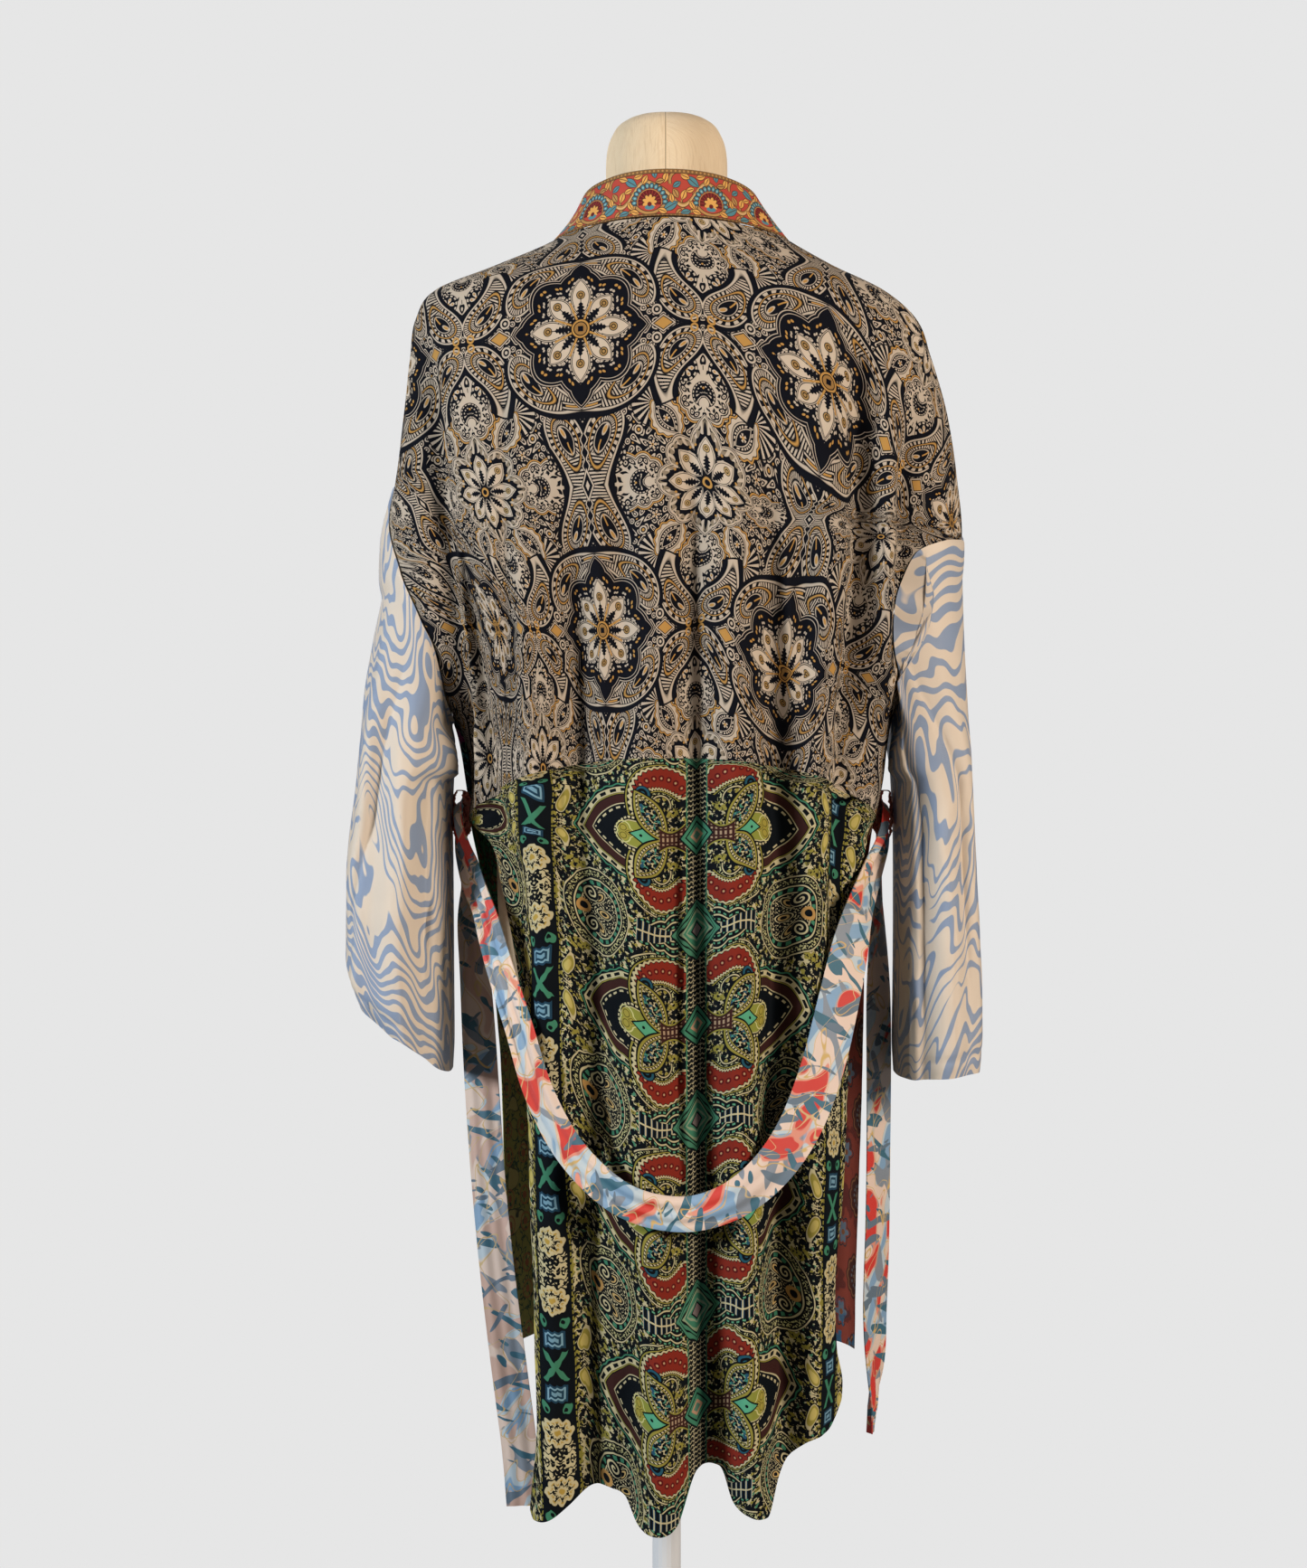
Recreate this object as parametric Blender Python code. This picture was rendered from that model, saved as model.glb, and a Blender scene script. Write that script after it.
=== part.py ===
"""Short kimono robe worn by a limbless dress form on a round-based stand.

Metres, +Z up. The origin is the middle of the base's underside. The robe's front
faces -Y and its back +Y; the wearer's left is +X.

The robe is cut as a T: a back yoke and two upper fronts that run over the shoulder
ridge to the dropped armholes, a back skirt and two lower fronts below the waist seam,
two sleeve tubes, one neck band that runs round the neck and down both fronts, two
belt loops on the side seams and a tie belt that runs through them.
Every cloth panel is a wall through rings worked out from the tables below.
"""
import math

import bpy
import numpy as np

# ------------------------------------------------------------------ main sizes
CLOTH = 0.0012          # wall of a single cloth
BAND_CLOTH = 0.0020     # wall of the folded neck band
BAND_WIDTH = 0.044      # neck band, seam to fold
BELT_WIDTH = 0.037
BELT_THICK = 0.0016
SEAM_GAP = 0.0008       # along the cloth, between two sewn pieces
POLE_R = 0.0125
BASE_R = 0.180
BASE_H = 0.022
TORSO_BOTTOM = 0.765
WAIST_SIDE = 0.9106     # waist seam at the side seams
UNDERARM = 1.000        # lowest point of both armholes
RIDGE_END_L = 1.210     # where the left armhole seam meets the outer fold
RIDGE_END_R = 1.166
FRONT_HEM = 0.440

# body ring: height, half width left (+X), half width right (-X), depth back, depth front, squareness
BODY = [
    (1.432, 0.086, 0.094, 0.0640, 0.060, 2.0),
    (1.421, 0.104, 0.112, 0.0665, 0.062, 2.0),
    (1.399, 0.156, 0.151, 0.0730, 0.068, 2.1),
    (1.379, 0.205, 0.192, 0.0800, 0.074, 2.2),
    (1.355, 0.221, 0.2195, 0.0880, 0.084, 2.3),
    (1.320, 0.227, 0.233, 0.0990, 0.100, 2.3),
    (1.270, 0.232, 0.247, 0.1090, 0.118, 2.3),
    (1.210, 0.239, 0.256, 0.1150, 0.131, 2.3),
    (1.166, 0.248, 0.260, 0.1180, 0.133, 2.3),
    (1.127, 0.250, 0.257, 0.1190, 0.131, 2.3),
    (1.090, 0.240, 0.245, 0.1200, 0.129, 2.3),
    (1.060, 0.224, 0.230, 0.1200, 0.127, 2.3),
    (1.030, 0.205, 0.212, 0.1200, 0.126, 2.3),
    (1.000, 0.189, 0.197, 0.1200, 0.125, 2.3),
    (0.940, 0.177, 0.188, 0.1200, 0.123, 2.3),
    (0.900, 0.172, 0.181, 0.1200, 0.122, 2.3),
    (0.840, 0.163, 0.176, 0.1190, 0.121, 2.3),
    (0.760, 0.157, 0.177, 0.1170, 0.119, 2.3),
    (0.680, 0.153, 0.176, 0.1140, 0.117, 2.3),
    (0.500, 0.149, 0.171, 0.1080, 0.113, 2.3),
    (0.280, 0.146, 0.168, 0.1040, 0.110, 2.3),
]
# how far the middle of a woven line lies above its side ends: side height, rise
RISE = [(1.421, 0.011), (1.400, 0.006), (1.379, 0.004), (1.330, 0.008), (1.210, 0.020),
        (1.000, 0.044), (0.9106, 0.056), (0.800, 0.048), (0.600, 0.020), (0.300, 0.0)]
# ring angle of the shoulder and side seam, degrees from the middle of the back: height, angle
SEAM_ANGLE = [(1.432, 98.0), (1.330, 98.0), (1.270, 94.0), (1.210, 90.0), (0.300, 90.0)]
# ring angle of the armhole's back edge: height, angle left, angle right
ARMHOLE = [(1.210, 90, 90), (1.188, 82, 90), (1.166, 76, 90), (1.145, 70, 64), (1.127, 66, 53),
           (1.090, 61, 51), (1.060, 60, 54), (1.030, 66, 62), (1.010, 79, 78), (1.000, 90, 90)]
# half opening of the fronts, seam of the neck band: height, x
OPENING = [(1.421, 0.1095), (1.400, 0.1085), (1.380, 0.106), (1.330, 0.100), (1.250, 0.094),
           (1.150, 0.090), (0.900, 0.086), (0.440, 0.082), (0.400, 0.082)]
# slit edges of the back skirt: height, x left, x right
BACK_EDGE = [(0.912, 0.170, -0.179), (0.896, 0.154, -0.174), (0.860, 0.143, -0.168), (0.820, 0.134, -0.162),
             (0.759, 0.123, -0.158), (0.655, 0.115, -0.153), (0.590, 0.1135, -0.149), (0.517, 0.109, -0.140),
             (0.462, 0.108, -0.143), (0.430, 0.106, -0.150), (0.400, 0.105, -0.145), (0.374, 0.107, -0.130),
             (0.336, 0.111, -0.120), (0.300, 0.112, -0.118)]
# slit edges of the lower fronts as ring angles: height, angle left, angle right
FRONT_EDGE = [(0.912, 90, 90), (0.860, 96, 93), (0.760, 104, 97), (0.600, 106, 99), (0.400, 108, 100)]
# back hem: place across (1 left edge, -1 right edge), height
BACK_HEM = [(-1.00, 0.415), (-0.93, 0.398), (-0.84, 0.394), (-0.74, 0.390), (-0.68, 0.362), (-0.60, 0.333), (-0.48, 0.335),
            (-0.37, 0.343), (-0.26, 0.370), (-0.14, 0.366), (-0.04, 0.327), (0.05, 0.321), (0.16, 0.326), (0.25, 0.346),
            (0.39, 0.351), (0.53, 0.348), (0.665, 0.336), (0.80, 0.326), (0.94, 0.324), (1.00, 0.330)]

# Fold ridges of the back. Each row is one point of one ridge: ridge, height, x, swell outwards, half width.
BACK_FOLDS = [
    ("far_left", 1.300, 0.200, 0.000, 0.012), ("far_left", 1.180, 0.190, 0.006, 0.012),
    ("far_left", 1.040, 0.176, 0.009, 0.012), ("far_left", 0.950, 0.166, 0.010, 0.012), ("far_left", 0.880, 0.160, 0.0, 0.010),
    ("left", 1.310, 0.142, 0.000, 0.022), ("left", 1.200, 0.136, 0.007, 0.022), ("left", 1.080, 0.127, 0.012, 0.021),
    ("left", 0.975, 0.119, 0.018, 0.021), ("left", 0.820, 0.103, 0.024, 0.020), ("left", 0.690, 0.098, 0.027, 0.020),
    ("left", 0.460, 0.095, 0.030, 0.020), ("left", 0.300, 0.100, 0.032, 0.020),
    ("mid_left", 1.260, 0.020, 0.000, 0.030), ("mid_left", 1.100, 0.014, 0.006, 0.026), ("mid_left", 0.950, 0.024, 0.014, 0.026),
    ("mid_left", 0.800, 0.026, 0.022, 0.026), ("mid_left", 0.600, 0.018, 0.029, 0.025),
    ("mid_left", 0.450, 0.010, 0.034, 0.024), ("mid_left", 0.300, 0.006, 0.039, 0.023),
    ("mid_right", 1.260, -0.058, 0.000, 0.024), ("mid_right", 1.120, -0.052, 0.008, 0.024), ("mid_right", 0.970, -0.055, 0.015, 0.023),
    ("mid_right", 0.760, -0.057, 0.023, 0.022), ("mid_right", 0.510, -0.063, 0.031, 0.021), ("mid_right", 0.300, -0.073, 0.038, 0.020),
    ("right", 1.310, -0.136, 0.000, 0.022), ("right", 1.200, -0.133, 0.006, 0.022), ("right", 1.080, -0.129, 0.011, 0.020),
    ("right", 0.920, -0.121, 0.018, 0.020), ("right", 0.800, -0.118, 0.022, 0.020), ("right", 0.610, -0.123, 0.026, 0.020),
    ("right", 0.470, -0.121, 0.030, 0.020), ("right", 0.300, -0.112, 0.030, 0.020),
    ("far_right", 1.300, -0.190, 0.000, 0.013), ("far_right", 1.210, -0.188, 0.009, 0.013), ("far_right", 1.100, -0.186, 0.013, 0.012),
    ("far_right", 0.970, -0.182, 0.012, 0.011), ("far_right", 0.890, -0.172, 0.0, 0.010),
    ("arm_right", 1.330, -0.216, 0.000, 0.010), ("arm_right", 1.250, -0.232, 0.006, 0.010), ("arm_right", 1.190, -0.238, 0.007, 0.010),
    ("arm_right", 1.120, -0.238, 0.000, 0.010),
]
# Fold ridges of the fronts, in the same columns; the same table serves both sides, mirrored and shifted.
FRONT_FOLDS = [
    ("bust", 1.330, 0.140, 0.000, 0.020), ("bust", 1.180, 0.132, 0.006, 0.020), ("bust", 1.000, 0.122, 0.014, 0.020),
    ("bust", 0.780, 0.116, 0.022, 0.019), ("bust", 0.400, 0.112, 0.028, 0.018),
    ("side", 1.260, 0.186, 0.000, 0.013), ("side", 1.120, 0.182, 0.008, 0.013), ("side", 0.960, 0.164, 0.012, 0.012),
    ("side", 0.820, 0.150, 0.010, 0.011), ("side", 0.700, 0.146, 0.0, 0.010),
]

# sleeve tubes: share of the way to the hem, outer x, inner x, depth back, depth front, middle y
SLEEVE_L = [
    (0.00, 0.243, 0.190, 0.060, 0.070, -0.004), (0.10, 0.2535, 0.1905, 0.066, 0.074, -0.004), (0.22, 0.261, 0.1910, 0.070, 0.078, -0.004),
    (0.35, 0.265, 0.1905, 0.074, 0.082, -0.004), (0.55, 0.272, 0.1900, 0.080, 0.087, -0.003), (0.75, 0.281, 0.1895, 0.085, 0.090, -0.002),
    (0.92, 0.281, 0.1890, 0.084, 0.088, 0.000), (1.00, 0.268, 0.190, 0.078, 0.080, 0.002),
]
SLEEVE_R = [
    (0.00, 0.262, 0.200, 0.060, 0.070, -0.004), (0.15, 0.264, 0.2005, 0.066, 0.074, -0.004), (0.35, 0.2665, 0.2025, 0.072, 0.080, -0.004),
    (0.55, 0.2695, 0.2025, 0.076, 0.084, -0.003), (0.75, 0.2735, 0.2020, 0.080, 0.086, -0.002), (0.92, 0.2750, 0.2010, 0.080, 0.085, 0.000),
    (1.00, 0.2720, 0.2020, 0.074, 0.078, 0.002),
]
# sleeve hem heights: outer side, inner side
SLEEVE_HEM = {1: (0.762, 0.693), -1: (0.698, 0.690)}
# sleeve folds: angle round the tube (0 outer, 90 back, 180 inner, 270 front), swell, half width in degrees, share where it starts
SLEEVE_FOLDS = {
    1: [(48, 0.010, 17, 0.10), (96, 0.013, 15, 0.00), (140, 0.008, 16, 0.25), (255, 0.011, 18, 0.15), (310, 0.009, 18, 0.30)],
    -1: [(40, 0.008, 17, 0.15), (88, 0.010, 17, 0.10), (133, 0.010, 15, 0.05), (245, 0.010, 18, 0.10), (305, 0.009, 18, 0.35)],
}

# dress form: height, half width, depth front, depth back
FORM = [
    (TORSO_BOTTOM, 0.136, 0.086, 0.086), (0.780, 0.141, 0.090, 0.091), (0.830, 0.1475, 0.096, 0.100), (0.880, 0.1490, 0.098, 0.103),
    (0.940, 0.142, 0.096, 0.096), (1.000, 0.126, 0.088, 0.084), (1.040, 0.119, 0.085, 0.080), (1.090, 0.124, 0.092, 0.084),
    (1.140, 0.133, 0.106, 0.090), (1.195, 0.143, 0.119, 0.098), (1.240, 0.153, 0.114, 0.100), (1.290, 0.170, 0.096, 0.094),
    (1.330, 0.190, 0.080, 0.083), (1.352, 0.197, 0.068, 0.073), (1.368, 0.190, 0.061, 0.067), (1.384, 0.166, 0.056, 0.064),
    (1.402, 0.130, 0.053, 0.061), (1.420, 0.090, 0.051, 0.058), (1.438, 0.064, 0.052, 0.055), (1.465, 0.0535, 0.053, 0.0535),
    (1.500, 0.0520, 0.053, 0.053), (1.5155, 0.0475, 0.049, 0.049), (1.526, 0.0390, 0.040, 0.040), (1.5315, 0.0250, 0.026, 0.026),
    (1.5335, 0.0100, 0.010, 0.010),
]

# Tie belt, from the left hanging end through both loops to the right end, along its middle line. A row without a depth
# lies on the back. x, y, height, share of the full width, turn of its face from +Y towards +X in degrees
BELT = [
    (0.1256, 0.0000, 0.3066, 1.00, 10), (0.1304, -0.0010, 0.3586, 1.00, 12), (0.1408, -0.0020, 0.4386, 1.00, 14),
    (0.1504, -0.0030, 0.5186, 1.00, 16), (0.1584, -0.0040, 0.5986, 1.00, 18), (0.1640, -0.0050, 0.6786, 1.00, 20),
    (0.1688, -0.0070, 0.7600, 1.00, 28), (0.1745, -0.0110, 0.8250, 0.98, 45), (0.1790, -0.0200, 0.8700, 0.85, 72),
    (0.1823, -0.0250, 0.8950, 0.76, 90), (0.1829, -0.0191, 0.9116, 0.76, 90), (0.1830, -0.0050, 0.9175, 0.76, 90),
    (0.1830, 0.0050, 0.9175, 0.76, 90), (0.1826, 0.0191, 0.9116, 0.76, 88), (0.1805, 0.0260, 0.8960, 0.78, 72),
    (0.1715, 0.0370, 0.8680, 0.90, 54), (0.1560, None, 0.8350, 1.00, 38), (0.1420, None, 0.7900, 1.00, 26),
    (0.1250, None, 0.7420, 1.00, 15), (0.1070, None, 0.6870, 1.00, 7), (0.0790, None, 0.6380, 1.00, 2),
    (0.0380, None, 0.6020, 1.00, 0), (-0.0080, None, 0.5890, 1.00, 0), (-0.0480, None, 0.5970, 1.00, 0),
    (-0.0820, None, 0.6210, 1.00, -1), (-0.1090, None, 0.6570, 1.00, -4), (-0.1290, None, 0.7060, 1.00, -10),
    (-0.1440, None, 0.7620, 1.00, -18), (-0.1600, None, 0.8220, 1.00, -34), (-0.1790, 0.0390, 0.8680, 0.90, -60),
    (-0.1895, 0.0260, 0.8960, 0.78, -74), (-0.1918, 0.0191, 0.9116, 0.76, -88), (-0.1922, 0.0050, 0.9175, 0.76, -90),
    (-0.1922, -0.0050, 0.9175, 0.76, -90), (-0.1921, -0.0191, 0.9116, 0.76, -90), (-0.1915, -0.0250, 0.8950, 0.76, -88),
    (-0.1898, -0.0210, 0.8700, 0.88, -78), (-0.1888, -0.0140, 0.8250, 0.98, -66), (-0.1885, -0.0090, 0.7600, 1.00, -52),
    (-0.1883, -0.0070, 0.6800, 1.00, -50), (-0.1876, -0.0060, 0.5586, 1.00, -50), (-0.1850, -0.0060, 0.4786, 1.00, -52),
    (-0.1850, -0.0070, 0.4226, 0.95, -60), (-0.1806, -0.0080, 0.3706, 0.55, -78),
]


# ------------------------------------------------------------------ interpolation
def table(rows, column, key=0):
    """A smooth monotone curve through one column of a table, against its key column."""
    points = sorted((r[key], r[column]) for r in rows)
    x = np.array([p[0] for p in points], float)
    y = np.array([p[1] for p in points], float)
    d = np.diff(y) / np.diff(x)
    m = np.concatenate([[d[0]], (d[:-1] + d[1:]) / 2, [d[-1]]])
    for i in range(len(d)):
        if d[i] == 0:
            m[i] = m[i + 1] = 0
        else:
            m[i] = np.sign(d[i]) * min(abs(m[i]), 3 * abs(d[i])) if m[i] * d[i] > 0 else 0
            m[i + 1] = np.sign(d[i]) * min(abs(m[i + 1]), 3 * abs(d[i])) if m[i + 1] * d[i] > 0 else 0

    def at(v):
        v = np.clip(np.asarray(v, float), x[0], x[-1])
        i = np.clip(np.searchsorted(x, v) - 1, 0, len(d) - 1)
        h = x[i + 1] - x[i]
        t = (v - x[i]) / h
        return ((1 + 2 * t) * (1 - t) ** 2 * y[i] + t * (1 - t) ** 2 * h * m[i]
                + t * t * (3 - 2 * t) * y[i + 1] + t * t * (t - 1) * h * m[i + 1])

    return at


A_LEFT, A_RIGHT, B_BACK, F_FRONT, SQUARE = (table(BODY, k) for k in range(1, 6))
RISE_AT = table(RISE, 1)
SEAM_AT = table(SEAM_ANGLE, 1)
HOLE = {1: table(ARMHOLE, 1), -1: table(ARMHOLE, 2)}
OPEN_AT = table(OPENING, 1)
EDGE = {1: table(BACK_EDGE, 1), -1: table(BACK_EDGE, 2)}
FRONT_AT = {1: table(FRONT_EDGE, 1), -1: table(FRONT_EDGE, 2)}
HEM_AT = table(BACK_HEM, 1)


def ridges(rows):
    """The ridges of a fold table, each as curves of its x, swell and half width against height."""
    made = []
    for name in dict.fromkeys(r[0] for r in rows):
        own = [r for r in rows if r[0] == name]
        made.append((min(r[1] for r in own), max(r[1] for r in own), *(table(own, k, 1) for k in (2, 3, 4))))
    return made


BACK_RIDGES, FRONT_RIDGES = ridges(BACK_FOLDS), ridges(FRONT_FOLDS)


def swell(found, x, z):
    """How far the folds stand out from the body ring at x and height z. Never inwards, so the form stays clear."""
    out = 0.0
    for low, high, centre, height, width in found:
        if z > high:
            continue
        lasting = 1.0 if z >= low else max(0.0, 1 - (low - z) / 0.05)
        out += lasting * float(height(z)) * math.exp(-((x - float(centre(z))) / float(width(z))) ** 2)
    return out


def ring_point(angle, z):
    """A point of the robe's body at a ring angle (0 middle back, 90 the wearer's left, -90 right, 180 middle front)."""
    a = math.radians(angle)
    s, c = math.sin(a), math.cos(a)
    half = float(A_LEFT(z)) if s >= 0 else float(A_RIGHT(z))
    deep = float(B_BACK(z)) if c >= 0 else float(F_FRONT(z))
    n = float(SQUARE(z))
    x = half * math.copysign(abs(s) ** (2 / n), s)
    y = deep * math.copysign(abs(c) ** (2 / n), c)
    nx = math.copysign(abs(x / half) ** (n - 1), x) / half
    ny = math.copysign(abs(y / deep) ** (n - 1), y) / deep
    size = math.hypot(nx, ny)
    out = swell(BACK_RIDGES, x, z) if c >= 0 else swell(FRONT_RIDGES, abs(x) + (0.006 if x < 0 else 0), z)
    # a fold dies out towards the side, where the two tables meet
    out *= min(1.0, abs(y) / 0.030)
    return np.array([x + out * 0.35 * nx / size, y + out * ny / size, z])


def angle_of_x(x, z, back=True):
    """The ring angle at which the body stands at x."""
    half = float(A_LEFT(z)) if x >= 0 else float(A_RIGHT(z))
    a = math.degrees(math.asin(min(1.0, (abs(x) / half) ** (float(SQUARE(z)) / 2))))
    return math.copysign(a if back else 180 - a, x)


def side_rows():
    """Heights, at the side, of the woven lines from neck to waist. The armholes start and end on one."""
    return [1.421, 1.410, 1.399, 1.389, 1.379, 1.362, 1.330, 1.290, 1.250, RIDGE_END_L, RIDGE_END_R, 1.138,
            1.100, 1.066, 1.040, 1.022, 1.008, UNDERARM, 0.958, WAIST_SIDE]


def drawn(angle, z_side):
    """The height of a woven line at a ring angle, from its height at the side."""
    g = 1 - abs(math.cos(math.radians(min(abs(angle), 90)))) ** 1.3
    return z_side + float(RISE_AT(z_side)) * (1 - g)


def edge_angle(side, z, back):
    """Ring angle of a panel's outer edge at the side: the shoulder seam, the armhole, then the side seam."""
    top = RIDGE_END_L if side > 0 else RIDGE_END_R
    if UNDERARM < z < top:
        a = float(HOLE[side](z))
        return a if back else 90 + (90 - a) * 0.92
    return float(SEAM_AT(z))


# ------------------------------------------------------------------ panels as grids of points
def yoke_grid(columns=28):
    rows = []
    for z_side in side_rows():
        left, right = edge_angle(1, z_side, True), edge_angle(-1, z_side, True)
        row = []
        for t in np.linspace(1, -1, columns + 1):
            angle = t * (left if t >= 0 else right)
            row.append(ring_point(angle, drawn(angle, z_side)))
        rows.append(row)
    return np.array(rows)


def front_upper_grid(side, columns=7):
    rows = []
    for z_side in side_rows()[1:]:
        outer = edge_angle(side, z_side, False)
        inner = abs(angle_of_x(float(OPEN_AT(z_side)), z_side, False))
        row = []
        for t in np.linspace(0, 1, columns + 1):
            angle = side * (outer + (inner - outer) * t)
            row.append(ring_point(angle, z_side))
        rows.append(row)
    return np.array(rows)


def skirt_grid(columns=36, rows=8):
    """The back skirt hangs from the waist seam; its sides are free below it."""
    grid = []
    ts = np.linspace(1, -1, columns + 1)
    for k in np.linspace(0, 1, rows + 1):
        row = []
        for t in ts:
            side = 1 if t >= 0 else -1
            z_top = drawn(t * 90, WAIST_SIDE)
            z = z_top + (float(HEM_AT(t)) - z_top) * k
            edge = abs(angle_of_x(float(EDGE[side](z)), z)) if k > 0 else 90.0
            row.append(ring_point(t * edge, z))
        grid.append(row)
    return np.array(grid)


def front_lower_grid(side, columns=7, rows=6):
    grid = []
    for z in np.linspace(WAIST_SIDE, FRONT_HEM, rows + 1):
        outer = float(FRONT_AT[side](z))
        inner = abs(angle_of_x(float(OPEN_AT(z)), z, False))
        grid.append([ring_point(side * (outer + (inner - outer) * t), z) for t in np.linspace(0, 1, columns + 1)])
    return np.array(grid)


def armhole_ring(side):
    """The armhole's points: down its back edge from the outer fold to the underarm, then up its front edge."""
    top = RIDGE_END_L if side > 0 else RIDGE_END_R
    heights = [z for z in side_rows() if UNDERARM <= z <= top]
    back = [ring_point(side * edge_angle(side, z, True), drawn(edge_angle(side, z, True), z)) for z in heights]
    front = [ring_point(side * edge_angle(side, z, False), z) for z in heights]
    return np.array(back + front[-2:0:-1]), len(back)


def clear_of_body(p, side, gap):
    """Moves a sleeve's point sideways until it stands clear of the body panels."""
    x, y, z = p
    gap += swell(BACK_RIDGES, x, z) * min(1.0, abs(y) / 0.030) if y >= 0 else swell(FRONT_RIDGES, abs(x), z) * min(1.0, abs(y) / 0.030)
    half = float(A_LEFT(z) if side > 0 else A_RIGHT(z)) + gap
    deep = float(B_BACK(z) if y >= 0 else F_FRONT(z)) + gap
    n = float(SQUARE(z))
    if abs(y) >= deep:
        return p
    least = half * (1 - (abs(y) / deep) ** n) ** (1 / n)
    return np.array([side * max(side * x, least), y, z])


def sleeve_grid(side, rows=10):
    """Rings from the armhole to the hem, one point for each point of the armhole."""
    ring, n_back = armhole_ring(side)
    n = len(ring)
    spec = [table(SLEEVE_L if side > 0 else SLEEVE_R, k) for k in range(1, 6)]
    top = RIDGE_END_L if side > 0 else RIDGE_END_R
    hem_out, hem_in = SLEEVE_HEM[side]
    # angle of each point round the tube: 0 outer, 90 back, 180 inner, 270 front
    around = [180 * i / (n_back - 1) for i in range(n_back)]
    around += [180 + 180 * (i + 1) / (n - n_back + 1) for i in range(n - n_back)]
    for i, angle in enumerate(around):  # the sleeve laps over the body at the back, the front and the underarm
        x, y, z = ring[i]
        n = float(SQUARE(z))
        half, deep = float(A_LEFT(z) if side > 0 else A_RIGHT(z)), float(B_BACK(z) if y >= 0 else F_FRONT(z))
        away = np.array([math.copysign(abs(x / half) ** (n - 1), x) / half, math.copysign(abs(y / deep) ** (n - 1), y) / deep, 0.0])
        ring[i] += away / np.linalg.norm(away) * 0.0019 * min(1.0, min(angle, 360 - angle) / 45)
    grid = []
    for w in np.linspace(0, 1, rows + 1):
        outer, inner, back, front, mid = (float(f(w)) for f in spec)
        row = []
        for i, angle in enumerate(around):
            a = math.radians(angle)
            c, s = math.cos(a), math.sin(a)
            z_out, z_in = top + (hem_out - top) * w, UNDERARM + (hem_in - UNDERARM) * w
            x = (outer + inner) / 2 + (outer - inner) / 2 * math.copysign(abs(c) ** 0.8, c)
            deep = back if s >= 0 else front
            y = mid + deep * math.copysign(abs(s) ** 0.8, s)
            z = (z_out + z_in) / 2 + (z_out - z_in) / 2 * c
            out = 0.0
            for centre, height, width, start in SLEEVE_FOLDS[side]:
                away = (angle - centre + 180) % 360 - 180
                out += height * min(1.0, max(0.0, (w - start) / 0.35)) * math.exp(-(away / width) ** 2)
            x += out * c * 0.35 * (0 if c < 0 else 1)
            y += out * math.copysign(1, s) * min(1.0, abs(s) * 1.5)
            z += (ring[i][2] - (top + UNDERARM) / 2 - (top - UNDERARM) / 2 * c) * (1 - w)
            e = min(1.0, w / 0.42)
            e = e * e * (3 - 2 * e)
            p = np.array([ring[i][0] * (1 - e) + side * x * e, ring[i][1] * (1 - e) + y * e, z])
            row.append(p if w > 0 else ring[i])
        if w > 0:
            gap = 0.0020 + 0.0015 * min(1.0, w / 0.08)
            row = [clear_of_body(p, side, gap) for p in row]
            for _ in range(3):  # and so that the chord between two points stands clear too
                middle = [(p + q) / 2 for p, q in zip(row, row[1:] + row[:1])]
                short = [abs(clear_of_body(m, side, gap)[0] - m[0]) for m in middle]
                row = [p + np.array([side * max(short[i - 1], short[i]), 0, 0]) for i, p in enumerate(row)]
        grid.append(row)
    return np.array(grid)


# ------------------------------------------------------------------ mesh making
def add_object(name, points, faces, colour, rough, metal=0.0, smooth=True):
    mesh = bpy.data.meshes.new(name)
    mesh.from_pydata([tuple(map(float, p)) for p in points], [], [tuple(map(int, f)) for f in faces])
    mesh.validate()
    mesh.update()
    if smooth:
        mesh.shade_smooth()
        mesh.set_sharp_from_angle(angle=math.radians(50))
    obj = bpy.data.objects.new(name, mesh)
    bpy.context.scene.collection.objects.link(obj)
    mat = bpy.data.materials.new(name)
    mat.use_nodes = True
    shader = mat.node_tree.nodes["Principled BSDF"]
    shader.inputs["Base Color"].default_value = (*colour, 1)
    shader.inputs["Roughness"].default_value = rough
    shader.inputs["Metallic"].default_value = metal
    mesh.materials.append(mat)
    return obj


def grid_normals(grid, closed):
    """Unit normals of a grid of points; closed grids wrap along their rows."""
    if closed:
        du = np.roll(grid, -1, axis=1) - np.roll(grid, 1, axis=1)
    else:
        du = np.gradient(grid, axis=1)
    dv = np.gradient(grid, axis=0)
    n = np.cross(du, dv)
    size = np.linalg.norm(n, axis=2, keepdims=True)
    return n / np.maximum(size, 1e-9)


def inset(grid, before=SEAM_GAP / 2, after=SEAM_GAP / 2, left=0.0, right=0.0):
    """The grid with its first and last row, and first and last column, drawn back along the cloth."""
    g = grid.copy()
    for own, inner, gap in ((0, 1, before), (-1, -2, after)):
        step = grid[inner] - grid[own]
        g[own] = grid[own] + step * gap / np.maximum(np.linalg.norm(step, axis=1, keepdims=True), 1e-9)
    h = g.copy()
    for own, inner, gap in ((0, 1, left), (-1, -2, right)):
        if gap:
            step = g[:, inner] - g[:, own]
            h[:, own] = g[:, own] + step * gap / np.maximum(np.linalg.norm(step, axis=1, keepdims=True), 1e-9)
    return h


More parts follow.
